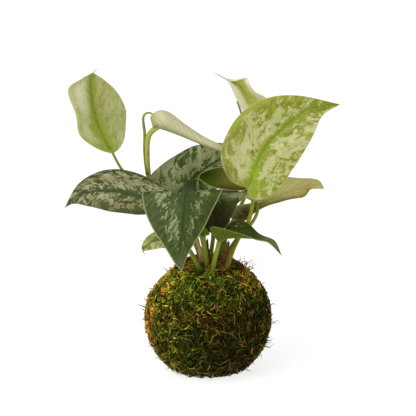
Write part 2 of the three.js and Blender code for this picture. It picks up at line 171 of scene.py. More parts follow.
def keep(name, shape, looks, slot, *nodes):
    """Makes a piece of a mesh, finished or still in the making. It stands for the named nodes."""
    mesh = shape if isinstance(shape, bpy.types.Mesh) else as_mesh(name, shape)
    piece = show(bpy.data.objects.new(name, mesh))
    for look in looks:
        mesh.materials.append(look)
    mesh.polygons.foreach_set("use_smooth", [True] * len(mesh.polygons))
    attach(piece, "root")
    if nodes:
        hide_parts(*nodes)
    return piece


def keep_sheet(name, bm, looks, slot, node):
    """Makes a piece of a sheet, and gives it its thickness, under its upper side."""
    piece = keep(name, bm, looks, slot, node)
    piece.vertex_groups.new(name="body")
    solid = piece.modifiers.new("thickness", "SOLIDIFY")
    solid.thickness = SHEET_THICKNESS * MM
    solid.offset = -1
    solid.vertex_group = "body"
    solid.thickness_vertex_group = 0.0
    solid.use_rim = True
    solid.material_offset = 1
    solid.material_offset_rim = 2


# ---- finishes

class Finish:
    """A procedural material in the making. Its colours are as seen on a screen, 0 to 255."""

    def __init__(self, name, roughness, specular):
        self.material = bpy.data.materials.new(name)
        self.material.use_nodes = True
        self.tree = self.material.node_tree
        self.inputs = self.tree.nodes["Principled BSDF"].inputs
        self.fill({"Roughness": roughness, "Specular IOR Level": specular})

    def fill(self, values):
        for name, value in values.items():
            self.feed(self.inputs[name], value)

    def feed(self, socket, value):
        if isinstance(value, bpy.types.NodeSocket):
            self.tree.links.new(value, socket)
        elif socket.type == "RGBA":
            socket.default_value = (*as_light(value), 1.0)
        else:
            socket.default_value = value

    def node(self, kind, inputs, output, **settings):
        """Adds a node, feeds its inputs by name or number, and gives one of its outputs."""
        made = self.tree.nodes.new(kind)
        for setting, value in settings.items():
            setattr(made, setting, value)
        for key, value in inputs.items():
            self.feed(made.inputs[key], value)
        return made.outputs[output]

    def grey(self, value):
        return self.node("ShaderNodeCombineXYZ", {0: value, 1: value, 2: value}, 0)

    def layer(self, name, output="Vector"):
        return self.node("ShaderNodeAttribute", {}, output, attribute_name=name)

    def places(self):
        return self.node("ShaderNodeTexCoord", {}, "Object")

    def part(self, vector, axis):
        return self.node("ShaderNodeSeparateXYZ", {0: vector}, axis)

    def noise(self, vector, scale, detail=4.0, roughness=0.55, distortion=0.0):
        inputs = dict(Vector=vector, Scale=scale, Detail=detail, Roughness=roughness, Distortion=distortion)
        return self.node("ShaderNodeTexNoise", inputs, "Fac")

    def speckle(self, scale, detail=4.0, roughness=0.55):
        return self.noise(self.places(), scale, detail, roughness)

    def drawn(self, vector, scale, detail=4.0, roughness=0.55, distortion=0.0, shift=(0, 0, 0)):
        """Noise with its own scale along each axis."""
        drawn = self.node("ShaderNodeMapping", dict(Vector=vector, Scale=scale, Location=shift), 0)
        return self.noise(drawn, 1.0, detail, roughness, distortion)

    def calc(self, operation, first, second):
        return self.node("ShaderNodeMath", {0: first, 1: second}, 0, operation=operation)

    def plus(self, first, second):
        return self.calc("ADD", first, second)

    def times(self, first, second):
        return self.calc("MULTIPLY", first, second)

    def step(self, value, low, high, start=0.0, end=1.0):
        inputs = {"Value": value, "From Min": low, "From Max": high, "To Min": start, "To Max": end}
        return self.node("ShaderNodeMapRange", inputs, "Result", interpolation_type="SMOOTHSTEP")

    def mix(self, share, first, second, way="MIX"):
        inputs = {0: share, 6: first, 7: second}
        return self.node("ShaderNodeMix", inputs, 2, data_type="RGBA", blend_type=way)

    def lay(self, under, over, value, low, high, most=1.0):
        """Lays one colour over another as a value passes from low to high."""
        return self.mix(self.step(value, low, high, 0.0, most), under, over)

    def glow(self, share):
        """Lets light through: it scatters under the surface."""
        self.fill({"Subsurface Weight": share, "Subsurface Radius": (1.0, 1.0, 0.4),
                  "Subsurface Scale": 2.0 * MM})

    def relief(self, height, depth):
        inputs = {"Strength": 1.0, "Distance": depth * MM, "Height": height}
        self.fill({"Normal": self.node("ShaderNodeBump", inputs, 0)})

    def done(self, colour):
        self.fill({"Base Color": colour})
        return self.material


# ---- leaf blades

# A blade is built on ribs, each [left margin, midrib, right margin] in millimetres, seen from the
# upper side with the tip forward. belly lifts its halves off the straight lines of the ribs, and a
# blade with a drip narrows there to a thread that ends in its tip.
BLADES = {
    "leaf_upper_left": dict(belly=(1.5, -1.5), base=(-84, 30, 188), tip=(-97.8, 58.5, 259.4),
        drip=(-101.8, 57.8, 256.3), ribs=[
        [(-94, 31.5, 190.5), (-87.5, 32.5, 193.5), (-78.5, 32.5, 192)],
        [(-105, 32.5, 196.5), (-92.5, 36.5, 203), (-74, 35, 200)],
        [(-113.5, 32.5, 205.5), (-97, 40, 213), (-72.5, 39.5, 213.5)],
        [(-116.5, 36.5, 222), (-100.5, 44.5, 225), (-73, 45, 226.5)],
        [(-123.5, 44.5, 242.5), (-103.5, 50, 240), (-81.5, 51.5, 241)],
        [(-112, 52, 251.5), (-103.5, 54, 250.5), (-92.5, 55, 250.5)]]),
    "leaf_upper_right": dict(belly=(1.5, 2), base=(37.8, -18, 174.2), tip=(112.5, -13, 238.5), ribs=[
        [(32, -16.6, 168), (38.5, -18, 177), (34.6, -21, 165.5)],
        [(25, -15, 169.2), (39.7, -17.5, 180.5), (38, -24.2, 158.8)],
        [(17, -11, 175), (41.5, -16, 187), (47.5, -27.5, 159.5)],
        [(11, -6.5, 191), (45.5, -13.5, 195.5), (60.5, -29, 168.5)],
        [(15.5, -5, 210.5), (51.5, -11.5, 204.5), (72, -28.5, 185.5)],
        [(28, -4, 229), (60.5, -11, 214), (81.5, -26.5, 200)],
        [(49.5, -5.5, 242.5), (73, -11, 225), (90, -23.5, 215.5)],
        [(76.5, -9.5, 245.5), (87.5, -12, 234.5), (97.5, -19, 230)]]),
    "leaf_left": dict(belly=(2, 2.5), base=(-34.5, -2, 154), tip=(-124.5, -0.5, 146), ribs=[
        [(-42.5, -7.5, 145.5), (-41.5, -1.5, 154), (-35, 5.5, 160)],
        [(-54.5, -5.5, 141), (-53.5, -2, 155.5), (-49, 16, 167.5)],
        [(-70, -2.5, 141), (-68.5, 1, 158.5), (-67.5, 24.5, 173.5)],
        [(-87, -0.5, 143), (-83.5, 4, 160.5), (-88, 27, 174.5)],
        [(-103.5, 2.5, 146.5), (-99, 5, 159.5), (-103.5, 23.5, 170)],
        [(-116, 1.5, 149), (-113, 4, 156), (-115.5, 14, 161.5)]]),
    "leaf_front": dict(belly=(1, 1), base=(-18, -18, 158), tip=(-22, -55, 102.5), ribs=[
        [(3.5, -12, 158.5), (-18, -23, 162), (-48, -12, 158)],
        [(12, -27, 167), (-18, -33, 165.5), (-56, -25, 164.5)],
        [(4, -38, 152), (-19.5, -43, 156.5), (-53, -37, 149.5)],
        [(-3.5, -46, 138), (-21, -50, 141), (-46, -46, 136)],
        [(-11.5, -52, 126), (-23, -55, 125), (-36, -52, 122)],
        [(-18, -55, 114.5), (-23, -57, 112.5), (-28, -55, 109.5)]]),
    "leaf_back": dict(belly=(1.5, 1.5), base=(-25.5, 20, 153), tip=(34, 56.5, 188.5), ribs=[
        [(-38.5, 20.5, 154.5), (-23.5, 22.5, 155.5), (-17.5, 17, 149)],
        [(-50.5, 27, 167), (-18.5, 28, 160.5), (-3.5, 19.5, 152)],
        [(-42.8, 35, 175.5), (-10.5, 35.5, 166.5), (9, 24.5, 158.5)],
        [(-28.5, 46, 184), (-1, 42, 173.5), (20.5, 32, 166)],
        [(-10.5, 53.5, 191.5), (10, 48, 179), (26.5, 40, 173.5)],
        [(10.5, 57.5, 193), (20.5, 52, 184.5), (31, 48.5, 181)]]),
    "leaf_curled": dict(belly=(2, 1.5), base=(33.5, 2, 161.5), tip=(-8, -10, 160.5), ribs=[
        [(30, -3, 169), (28.5, 4, 163.5), (25, -6, 162)],
        [(20.5, -4, 179), (20, 5, 167), (18, -8, 162.8)],
        [(12, -5, 183), (11.5, 4, 171), (10.5, -9, 164.2)],
        [(2.5, -6, 181.5), (2.5, 1, 173.5), (3.5, -9, 166)],
        [(-4.5, -6, 178.5), (-4.5, -1, 174), (-3.5, -8, 169.5)],
        [(-8, -6, 175), (-8.5, -5, 173.5), (-7.5, -6.5, 172)],
        [(-9.5, -8, 166.5), (-9, -8.5, 166.5), (-8, -8, 166.5)]]),
    "leaf_twisted": dict(belly=(2, -2), base=(47, 50, 209.5), tip=(5.5, 48, 257.5), ribs=[
        [(41.5, 45, 213), (46, 52, 215.5), (53, 48, 218)],
        [(34.5, 40, 220), (42.5, 55, 221.5), (55.5, 44, 227.5)],
        [(30, 38, 226.5), (38.5, 56, 226.5), (51, 40, 236)],
        [(24.5, 38, 237), (34, 56, 234.5), (42, 40, 241)],
        [(20, 40, 246.5), (29, 54, 243), (36.5, 42, 247.5)],
        [(16.5, 43, 251.5), (23, 50, 248), (33.8, 46, 252.6)],
        [(13, 46, 254), (15.5, 48, 252.5), (20.5, 47, 250)]]),
    "leaf_lower_right": dict(belly=(2, 2), base=(42.5, 20, 145.5), tip=(104.5, 53, 152), ribs=[
        [(21, 12, 144), (43.5, 20, 146.5), (28.5, 9, 156)],
        [(20.5, 15, 133), (45.5, 21.5, 147), (34, 7, 165)],
        [(32.5, 16, 130.5), (49.5, 24.5, 148), (43.5, 5, 169)],
        [(43.5, 21, 138.5), (57.5, 29.5, 150), (55.5, 7, 171)],
        [(64.5, 31.5, 144.5), (72, 35, 153), (70, 14.5, 170)],
        [(85, 43, 146.5), (85.5, 41, 156), (84.5, 26, 167)],
        [(92, 42.5, 153.5), (96, 44, 157.5), (98, 37.5, 163)]]),
    "leaf_small_right": dict(belly=(2, 2), base=(9, -27, 121), tip=(62.5, -47, 114.5), ribs=[
        [(13, -20, 127), (11, -28, 123), (2, -37, 134)],
        [(18.5, -16, 135), (15.5, -30, 126), (4.5, -42, 138.5)],
        [(28.5, -16, 138.5), (23.5, -33, 127.5), (15, -46, 137)],
        [(36.5, -22, 135.5), (32.5, -36, 128), (27, -46, 133)],
        [(44.5, -30, 129), (42, -40, 128), (40.5, -45, 128)],
        [(56.5, -39, 125.8), (51.5, -43, 126), (51.5, -46, 125)]]),
    "leaf_shaded": dict(belly=(1.5, 1.5), base=(1.5, 10, 158), tip=(8, -14, 123.5), ribs=[
        [(13, 8, 159), (1.5, 9, 159.5), (-9.5, 10, 168.5)],
        [(32.5, -5, 160.5), (2.5, 5, 159.5), (-20.5, 7, 166.5)],
        [(29.5, -11, 157.5), (3.5, -6, 156.5), (-21.5, 2, 158.5)],
        [(24.5, -13, 150.5), (4.5, -10, 147.5), (-17.5, -3, 148)],
        [(20, -14, 140.5), (5, -12, 139.5), (-11, -7, 138)],
        [(15.5, -14, 132), (6, -13, 130), (-4.5, -10, 130)]]),
    "leaf_small_left": dict(belly=(1, 1), base=(-28.5, -8, 119), tip=(-54.5, -17, 107.5), ribs=[
        [(-33.5, -14.5, 114), (-34.5, -8, 119.5), (-35.5, 1.5, 124.5)],
        [(-42, -14.5, 113), (-42.5, -6.5, 119.5), (-45, 3, 124.5)],
        [(-50, -13.5, 111.5), (-49, -8.5, 117.5), (-52, 1, 121)],
        [(-55, -14, 110.5), (-53, -11, 114), (-56.5, -5.5, 116)],
        [(-56, -15, 110), (-56.5, -13, 111), (-57.5, -11.5, 112)]]),
    "leaf_hidden": dict(belly=(1, 1), base=(-3.5, -18, 124.5), tip=(-23, -37, 124), ribs=[
        [(-1.5, -22, 124.5), (-5, -19, 127), (1.5, -14, 125.5)],
        [(-7.5, -27, 126), (-9.5, -24, 130), (-2.5, -16, 132)],
        [(-13.5, -33, 126.5), (-14.5, -28, 132), (-11, -23, 137)],
        [(-18, -36, 125.5), (-18.5, -32, 130), (-18, -29, 136)]]),
}

GRID_STEP = 0.8          # mm between points on a blade
VEIN_SPACING = 7.5
VEIN_DEPTH = 0.14
MIDRIB_DEPTH = 0.45
RIPPLE = 0.3             # of the margin, up and down
THIN_SHARE = 0.5         # of a blade's thickness, at the margin
SIDE_SHIFT = 40.0        # keeps the pattern of one half apart from the other's
DRIP_WIDTH = 0.45


def blade_lines(leaf):
    """The left margin, midrib and right margin, with the drip tip that some blades end in."""
    lines = []
    for k in range(3):
        drip = [leaf["drip"] + np.array((DRIP_WIDTH * (k - 1), 0, 0))] if "drip" in leaf else []
        lines.append([leaf["base"], *(rib[k] for rib in leaf["ribs"]), *drip, leaf["tip"]])
    return lines


def blade_places(leaf, across, along, slant=1.0):
    """A blade's points, and for each its place on the flattened blade."""
    lines = blade_lines(leaf)
    left, middle, right = (smooth_curve(line, along) for line in lines)
    forward = curve_direction(lines[1], along)
    inner = np.clip(along, 0.22, 0.97)
    chord = smooth_curve(lines[2], inner) - smooth_curve(lines[0], inner)
    up = unit(np.cross(chord, curve_direction(lines[1], inner)))
    fine = np.linspace(0, 1, 200)
    spine = smooth_curve(lines[1], fine)
    run = np.concatenate([[0], np.cumsum(np.linalg.norm(np.diff(spine, axis=0), axis=1))])
    widest = np.linalg.norm(smooth_curve(lines[2], fine) - smooth_curve(lines[0], fine), axis=1).max()
    width = np.linalg.norm(right - left, axis=1)
    share = np.abs(across)
    reach = np.where((across < 0)[:, None], left, right) - middle
    advance = (reach * forward).sum(1) * share
    sideways = np.sqrt(np.maximum((reach**2).sum(1) * share**2 - advance**2, 0))
    belly = np.where(across < 0, *leaf["belly"]) * 4 * share * (1 - share) * width / widest
    along_mm = np.interp(along, fine, run) + advance
    return dict(
        place=middle + reach * share[:, None] + up * belly[:, None], up=up, out=sideways,
        run=along_mm, vein=along_mm - slant * sideways, length=run[-1],
        edge=(1 - share) * np.linalg.norm(reach, axis=1), widest=widest)


def painted(across, along, strokes):
    """Colour laid over a blade in soft strokes of (u, t, reach in u, reach in t, colour, strength): some
    strokes are the blade's own colour, some painted light or painted shade.
    """
    colour = np.zeros((len(across), 3))
    cover = np.zeros(len(across))
    for u, t, reach_u, reach_t, paint, strength in strokes:
        off = ((across - u) / reach_u) ** 2 + ((along - t) / reach_t) ** 2
        amount = strength * np.exp(-(off**1.5))
        colour = colour * (1 - amount[:, None]) + as_light(paint) * amount[:, None]
        cover = cover * (1 - amount) + amount
    return colour / np.maximum(cover, 1e-6)[:, None], cover


def blade_relief(at, along, side, groove):
    """The furrows over the side veins, and how far they, the midrib and the margin's waves lift it."""
    phase = np.abs((at["vein"] / VEIN_SPACING + 0.25 * side) % 1 - 0.5) * VEIN_SPACING
    furrow = bell(phase, 1.1) * smooth_step(at["out"], 1.0, 4.0) * smooth_step(at["edge"], 1.5, 6.0)
    groove = groove * bell(at["out"], 1.1) * smooth_step(1 - along, 0.02, 0.15)
    wave = np.sin(at["run"] / 4.1 + side * 1.3) * smooth_step(7 - at["edge"], 0, 7)
    wave *= smooth_step(along, 0.1, 0.3) * smooth_step(1 - along, 0.05, 0.3)
    return furrow, -VEIN_DEPTH * furrow - MIDRIB_DEPTH * groove + RIPPLE * wave


def blade_shape(leaf, look):
    """Gives the function that shapes a blade's grid."""
    def shape(across, along):
        at = blade_places(leaf, across, along, look["slant"])
        side = np.where(across < 0, -1.0, 1.0)
        furrow, lift = blade_relief(at, along, side, look["groove"])
        silver = np.full(len(across), look["silver"])
        for u, t, reach_u, reach_t, amount in look.get("patches", ()):
            silver += amount * np.exp(-(((across - u) / reach_u) ** 2) - ((along - t) / reach_t) ** 2)
        above, above_cover = painted(across, along, look.get("paint", ()))
        below, below_cover = painted(across, along, look.get("paint_under", ()))
        band = look["band"] * (1 - along) ** 0.8 * (0.35 + 0.65 * smooth_step(along, 0, look["broadest"]))
        return at["place"] + at["up"] * lift[:, None], dict(
            grain=np.stack([at["vein"], at["out"], side * SIDE_SHIFT], 1),
            zone=np.stack([silver, at["edge"], furrow], 1),
            cover=np.stack([above_cover, below_cover, band], 1), above=above, below=below,
            body=THIN_SHARE + (1 - THIN_SHARE) * bell(at["out"], 1.8) * smooth_step(1 - along, 0, 0.3))
    return shape


FINE_SCALE = 260.0
FLECK_SHARE = 2.7   # how many flecks lie along one splash


def paint_and_margin(finish, colour, look, cover, paint, thinnest):
    """Lays the painted strokes over a side of a blade, grainy where they are thin, then its margin."""
    fine = finish.speckle(FINE_SCALE, 4.0, 0.6)
    laid = finish.times(cover, finish.step(fine, 0.2, 0.55, thinnest, 1.0))
    colour = finish.mix(laid, colour, finish.layer(paint, "Color"))
    return finish.lay(colour, look["margin"], finish.part(finish.layer("zone"), "Y"),
                      look["edge"], look["edge"] * 0.35)


def upper_finish(name, look):
    """The splashed upper side: patches along the side veins, a plain midrib band, a thin margin."""
    finish = Finish(name, look["roughness"], look["specular"])
    finish.glow(look["glow"])
    grain, zone, cover = (finish.layer(layer) for layer in ("grain", "zone", "cover"))
    seed = (look["seed"],) * 3
    wide, long = look["splash"]
    broad = finish.drawn(grain, (1 / wide, 1 / long, 1), 7.0, 0.6, 0.7, seed)
    fleck = finish.drawn(grain, (FLECK_SHARE / wide, FLECK_SHARE / long, 1), 5.0, 0.65, 0.4, seed)
    pattern = finish.plus(finish.times(broad, 1 - look["fleck"]), finish.times(fleck, look["fleck"]))
    level = finish.plus(pattern, finish.part(zone, "X"))
    shade = finish.drawn(grain, (0.22, 0.16, 1), shift=seed)
    plain = finish.lay(look["plain"], look["plain_2"], shade, 0.36, 0.64)
    tone = finish.speckle(70.0, 3.0)
    silver = finish.lay(look["silvery"], look["silvery_2"], tone, 0.35, 0.65)
    fine = finish.speckle(FINE_SCALE, 4.0, 0.6)
    silver = finish.lay(silver, plain, fine, 0.5, 0.7, 0.3)
    colour = finish.lay(plain, silver, level, 0.5 - look["soft"], 0.5 + look["soft"])
    streak = finish.drawn(grain, (0.06, 0.9, 1), 4.0, 0.6, shift=seed)
    colour = finish.lay(colour, look["plain"], streak, 0.5, 0.66, look["streak"])
    comb = finish.calc("SUBTRACT", finish.drawn(grain, (0.75, 0.12, 1), 4.0, 0.6, shift=seed), 0.5)
    inside = finish.calc("SUBTRACT", finish.part(grain, "Y"), finish.part(cover, "Z"))
    midrib = finish.step(finish.plus(inside, finish.times(comb, look["feather"])), 0.5, -0.5)
    rib = finish.lay(look["midrib"], look["midrib_2"], finish.part(grain, "Y"), 2.2, 0.3)
    colour = finish.mix(finish.times(midrib, 0.92), colour, rib)
    colour = finish.mix(finish.times(finish.part(zone, "Z"), look["vein"]), colour, look["midrib"])
    colour = paint_and_margin(finish, colour, look, finish.part(cover, "X"), "above", 0.6)
    grit = finish.speckle(1100.0, 2.0)
    finish.relief(finish.speckle(900.0, 2.0), 0.12)
    return finish.done(finish.lay(colour, (30, 34, 10), grit, 0.35, 0.75, 0.16))


def under_finish(name, look):
    """The underside: paler and duller, with long raised veins."""
    finish = Finish(name, 0.5, look["specular"])
    finish.glow(look["glow"])
    grain, zone, cover = (finish.layer(layer) for layer in ("grain", "zone", "cover"))
    long = finish.drawn(grain, (0.55, 0.05, 1), 4.0, 0.6)
    patch = finish.drawn(grain, (1 / 6, 1 / 14, 1), 4.0, 0.6)
    colour = finish.lay(look["under"], look["under_2"], long, 0.3, 0.7)
    colour = finish.lay(colour, look["under"], patch, 0.45, 0.62, 0.6)
    rib = finish.step(finish.part(grain, "Y"), 1.2, 0.4)
    colour = finish.mix(finish.times(rib, 0.35), colour, look["margin"])
    colour = finish.mix(finish.times(finish.part(zone, "Z"), 0.15), colour, look["margin"])
    finish.relief(long, 0.25)
    return finish.done(paint_and_margin(finish, colour, look, finish.part(cover, "Y"), "below", 0.7))


def margin_finish(name, look):
    finish = Finish(name, 0.5, 0.4)
    return finish.done(finish.mix(finish.speckle(500.0), look["margin"], look["under"]))


DARK = dict(
    plain=(50, 66, 22), plain_2=(72, 92, 36), silvery=(158, 164, 122), silvery_2=(128, 136, 92),
    midrib=(58, 80, 28), midrib_2=(48, 66, 20), margin=(140, 138, 92), under=(128, 132, 78),
    under_2=(104, 112, 54), roughness=0.42, specular=0.14, band=2.6, broadest=0.1, feather=9.0, fleck=0.4,
    soft=0.02, vein=0.12, splash=(9.5, 5.5), edge=0.8, silver=0.0, slant=1.3, seed=0.0, glow=0.06,
    groove=1.0, streak=0.0)
PALE = dict(
    plain=(116, 130, 26), plain_2=(152, 158, 66), silvery=(190, 190, 132), silvery_2=(172, 176, 104),
    midrib=(124, 150, 24), midrib_2=(108, 134, 12), margin=(190, 192, 128), under=(176, 172, 112),
    under_2=(152, 150, 84), roughness=0.45, specular=0.22, band=3.2, broadest=0.1, feather=12.0, fleck=0.4,
    soft=0.03, vein=0.1, splash=(9.0, 6.5), edge=0.6, silver=0.0, slant=1.0, seed=0.0, glow=0.25,
    groove=0.6, streak=0.0)
# On the twisted blade: these strokes are its pale cream and green, lightened towards white as painted light.
TWISTED_CREAM_AND_LIGHT = [(-0.7, 0.5, 0.5, 0.5, (250, 244, 222), 0.95),
                 (0.25, 0.45, 0.4, 0.4, (214, 218, 130), 0.65),
                 (0.9, 0.5, 0.3, 0.5, (250, 244, 220), 0.95)]
# On the curled blade: the bright green stroke is the upper side seen in the curl, partly its own green and
# partly painted light shining through it.
CURLED_PAINT = [(-0.4, 0.22, 1.2, 0.2, (148, 146, 70), 0.75), (0.95, 0.3, 0.4, 0.2, (50, 54, 10), 0.8),
                (0.0, 0.63, 2.5, 0.24, (44, 76, 2), 0.98)]

LOOKS = {
    "leaf_upper_left": dict(
        PALE, seed=3.0, silver=0.04, band=10.5, broadest=0.35, feather=25.0, soft=0.05,
        plain=(124, 136, 46), plain_2=(146, 152, 74), silvery=(178, 178, 126), silvery_2=(158, 160, 100),
        midrib=(138, 150, 48), midrib_2=(124, 138, 28), groove=0.07, streak=0.5,
        paint=[(-0.5, 0.6, 0.3, 0.13, (206, 206, 172), 0.85),
               (-0.97, 0.5, 0.12, 0.2, (184, 186, 140), 0.9),
               (-0.66, 0.36, 0.2, 0.1, (190, 194, 148), 0.6), (0.55, 0.5, 0.4, 0.3, (150, 152, 100), 0.4),
               # The stroke at the base is painted shade in the crease of the midrib.
               (0.1, 0.8, 0.35, 0.1, (142, 148, 68), 0.6), (0.0, 0.06, 0.16, 0.09, (96, 108, 6), 0.7)]),
    "leaf_upper_right": dict(
        PALE, seed=11.0, band=6.2, feather=18.0, splash=(9.5, 8.0), slant=0.5, fleck=0.34,
        plain=(112, 124, 10), plain_2=(146, 150, 52), silvery=(192, 190, 142), silvery_2=(176, 178, 116),
        midrib=(134, 152, 22), midrib_2=(116, 138, 10),
        patches=[(0.75, 0.25, 0.5, 0.2, -0.04), (-0.95, 0.5, 0.25, 0.5, -0.05),
                 (-0.4, 0.45, 0.35, 0.25, 0.06), (0.4, 0.55, 0.3, 0.2, 0.05),
                 (0.0, 0.95, 1.0, 0.15, -0.05)],
        # The bright yellow-green stroke at the base is partly the blade's own colour and partly painted light
        # shining through it.
        paint=[(-0.55, 0.14, 0.45, 0.1, (138, 146, 44), 0.6), (0.1, 0.2, 0.22, 0.12, (146, 178, 14), 0.85),
               (0.8, 0.25, 0.4, 0.18, (150, 170, 50), 0.4), (-0.85, 0.45, 0.25, 0.3, (150, 146, 84), 0.3),
               (-0.95, 0.7, 0.15, 0.15, (160, 172, 70), 0.6)]),
    "leaf_left": dict(
        DARK, seed=5.0, silver=0.01, plain=(60, 70, 28), plain_2=(84, 94, 46), silvery=(172, 168, 134),
        silvery_2=(144, 140, 100), band=6.0, feather=15.0, broadest=0.3, splash=(6.5, 5.5), slant=0.8,
        margin=(104, 92, 54), under=(110, 108, 62),
        patches=[(0.95, 0.5, 0.2, 0.5, -0.06), (-0.95, 0.4, 0.2, 0.4, -0.05),
                 (0.0, 0.95, 1.0, 0.12, -0.05)],
        # A darker stroke along the lower margin, painted shade.
        paint=[(-0.95, 0.35, 0.2, 0.4, (70, 66, 34), 0.6)]),
    "leaf_front": dict(
        DARK, seed=8.0, silver=-0.12, slant=0.9, edge=1.4, margin=(150, 156, 108), plain=(54, 70, 24),
        plain_2=(74, 90, 38), silvery=(156, 160, 120), band=3.4, splash=(7.0, 5.0),
        silvery_2=(140, 146, 104),
        patches=[(0.5, 0.34, 0.3, 0.13, 0.12), (0.36, 0.6, 0.28, 0.15, 0.12),
                 (-0.5, 0.34, 0.25, 0.13, 0.12), (-0.32, 0.6, 0.25, 0.14, 0.1),
                 (0.0, 0.86, 0.5, 0.1, 0.03)],
        paint=[(0.0, 1.0, 0.7, 0.2, (106, 118, 74), 0.6)]),
    "leaf_back": dict(
        DARK, seed=1.0, silver=0.02, margin=(70, 58, 30), edge=1.0, slant=0.7, splash=(9.0, 7.0),
        fleck=0.34, plain=(50, 72, 20), plain_2=(70, 96, 36), silvery=(162, 164, 122),
        paint=[(0.15, 0.12, 0.5, 0.16, (70, 92, 48), 0.75)]),
    "leaf_curled": dict(
        DARK, seed=2.0, silver=-0.2, under=(120, 122, 44), under_2=(98, 104, 30), plain=(98, 104, 30),
        plain_2=(120, 122, 44), midrib=(110, 116, 40), margin=(150, 152, 76), paint=CURLED_PAINT,
        paint_under=CURLED_PAINT),
    # The twisted blade's own pale cream and green, lightened as painted light falling on and through it.
    "leaf_twisted": dict(
        PALE, seed=6.0, silver=0.08, under=(230, 226, 186), under_2=(216, 216, 156), plain=(172, 184, 92),
        plain_2=(188, 198, 120), margin=(226, 222, 190), glow=0.6, groove=0.2, midrib=(186, 200, 80),
        midrib_2=(176, 192, 66), paint=TWISTED_CREAM_AND_LIGHT, paint_under=TWISTED_CREAM_AND_LIGHT),
    "leaf_lower_right": dict(
        PALE, seed=4.0, under=(186, 178, 108), under_2=(156, 148, 76), margin=(168, 160, 96),
        # Painted shade: the near left lobe of the underside is drawn dark, and its left margin darker.
        paint_under=[(-0.62, 0.32, 0.6, 0.2, (44, 40, 8), 0.97),
                     (-0.95, 0.6, 0.2, 0.25, (90, 84, 26), 0.7)]),
    "leaf_small_right": dict(
        DARK, seed=9.0, silver=-0.13, plain=(40, 54, 2), plain_2=(60, 76, 8), specular=0.08,
        silvery=(120, 134, 74), under=(92, 106, 28), under_2=(72, 88, 14), margin=(140, 146, 76),
        patches=[(-0.5, 0.42, 0.22, 0.1, 0.14)],
        paint=[(0.0, 0.95, 1.5, 0.2, (126, 118, 74), 0.8)],
        paint_under=[(0.2, 0.88, 1.0, 0.2, (138, 130, 76), 0.75)]),
    # Painted shade: the lower part and the left lobe of this blade are dark olive-brown with little silver,
    # and its margin is darker.
    "leaf_shaded": dict(
        DARK, seed=7.0, silver=-0.02, margin=(96, 88, 48),
        patches=[(-0.55, 0.3, 0.5, 0.14, 0.16), (0.0, 0.88, 2.0, 0.33, -0.3), (0.9, 0.3, 0.4, 0.3, -0.1)],
        paint=[(0.0, 0.88, 1.6, 0.42, (56, 46, 16), 0.95), (0.9, 0.25, 0.7, 0.3, (44, 50, 20), 0.8)],
        paint_under=[(0.8, 0.2, 0.6, 0.4, (44, 50, 20), 0.85)]),
    "leaf_small_left": dict(
        PALE, seed=12.0, silver=0.02, band=2.0, feather=7.0, splash=(5.0, 5.0), plain=(98, 116, 36),
        plain_2=(118, 132, 50), midrib=(92, 112, 30), midrib_2=(92, 112, 30)),
    "leaf_hidden": dict(
        DARK, seed=10.0, silver=-0.3, specular=0.05, plain=(98, 130, 18), plain_2=(116, 144, 30),
        under=(106, 136, 24), under_2=(92, 122, 14), margin=(134, 146, 56), midrib=(86, 112, 14),
        midrib_2=(86, 112, 14)),
}


def blade(name):
    leaf = BLADES[name]
    look = LOOKS[name]
    size = blade_places(leaf, np.zeros(1), np.zeros(1))
    rows = int(1.15 * size["length"] / GRID_STEP)
    columns = 2 * int(size["widest"] / 2 / GRID_STEP)
    grid = shaped_grid(columns, rows, blade_shape(leaf, look))
    sides = [upper_finish(name + "_upper", look), under_finish(name + "_under", look),
             margin_finish(name + "_margin", look)]
    slot = "leaf_pale" if look["glow"] > DARK["glow"] else "leaf_dark"
    keep_sheet(name + "_blade", grid, sides, slot, name)


for leaf_name in BLADES:
    blade(leaf_name)


# ---- the unfurling leaf

ROLL = dict(
    axis=[(-48.2, 6, 219.2), (-39.3, 6, 221.6), (-22.5, 5, 213.2), (-5.5, 4, 204.4), (11, 3, 197.2),
          (18, 3, 193.8)],
    radius=[4.9, 8.9, 5.9, 3.9, 2.9, 2.2], turns=1.25, inner_share=0.74, start=2.2)
ROLL_COLUMNS = 60
ROLL_ROWS = 80


def roll_shape(across, along):
    wound = (across + 1) / 2
    radius = smooth_curve([(r, 0, 0) for r in ROLL["radius"]], along)[:, 0]
    radius = radius * (ROLL["inner_share"] + (1 - ROLL["inner_share"]) * wound)
    turn = ROLL["start"] + math.tau * ROLL["turns"] * wound
    return round_curve(ROLL["axis"], along, (0, 0, 1), radius, turn), dict(
        grain=np.stack([along * 75 + wound * 55, wound * 40, np.zeros(len(across))], 1),
        zone=np.stack([wound, along, np.sin(turn)], 1),
        body=np.full(len(across), 0.5))


def roll_finish():
    """Cream with fine slanting streaks, greener at the mouth, and darker and greener along its lower side as
    painted shade.
    """
    finish = Finish("unfurling_blade", 0.5, 0.2)
    grain, zone = finish.layer("grain"), finish.layer("zone")
    streak = finish.drawn(grain, (0.7, 0.05, 1), 5.0, 0.65)
    broad = finish.drawn(grain, (0.12, 0.05, 1), 3.0)
    colour = finish.lay((212, 208, 172), (182, 180, 134), streak, 0.36, 0.66)
    colour = finish.lay(colour, (170, 170, 112), broad, 0.45, 0.65, 0.35)
    # Painted shade: the lower side of the roll is drawn darker and greener.
    lower = finish.times(finish.step(finish.part(zone, "Z"), 0.1, -0.9), 0.75)
    colour = finish.mix(lower, colour, (142, 140, 88))
    mouth = finish.plus(finish.part(zone, "Y"), finish.times(broad, 0.12))
    colour = finish.lay(colour, (150, 150, 74), mouth, 0.24, 0.06, 0.85)
    colour = finish.lay(colour, (150, 150, 96), finish.part(zone, "Y"), 0.6, 1.0, 0.5)
    finish.relief(streak, 0.12)
    return finish.done(colour)


roll = shaped_grid(ROLL_COLUMNS, ROLL_ROWS, roll_shape)
keep_sheet("leaf_unfurling_blade", roll, [roll_finish()] * 3, "leaf_pale", "leaf_unfurling")


# ---- stalks and sheaths

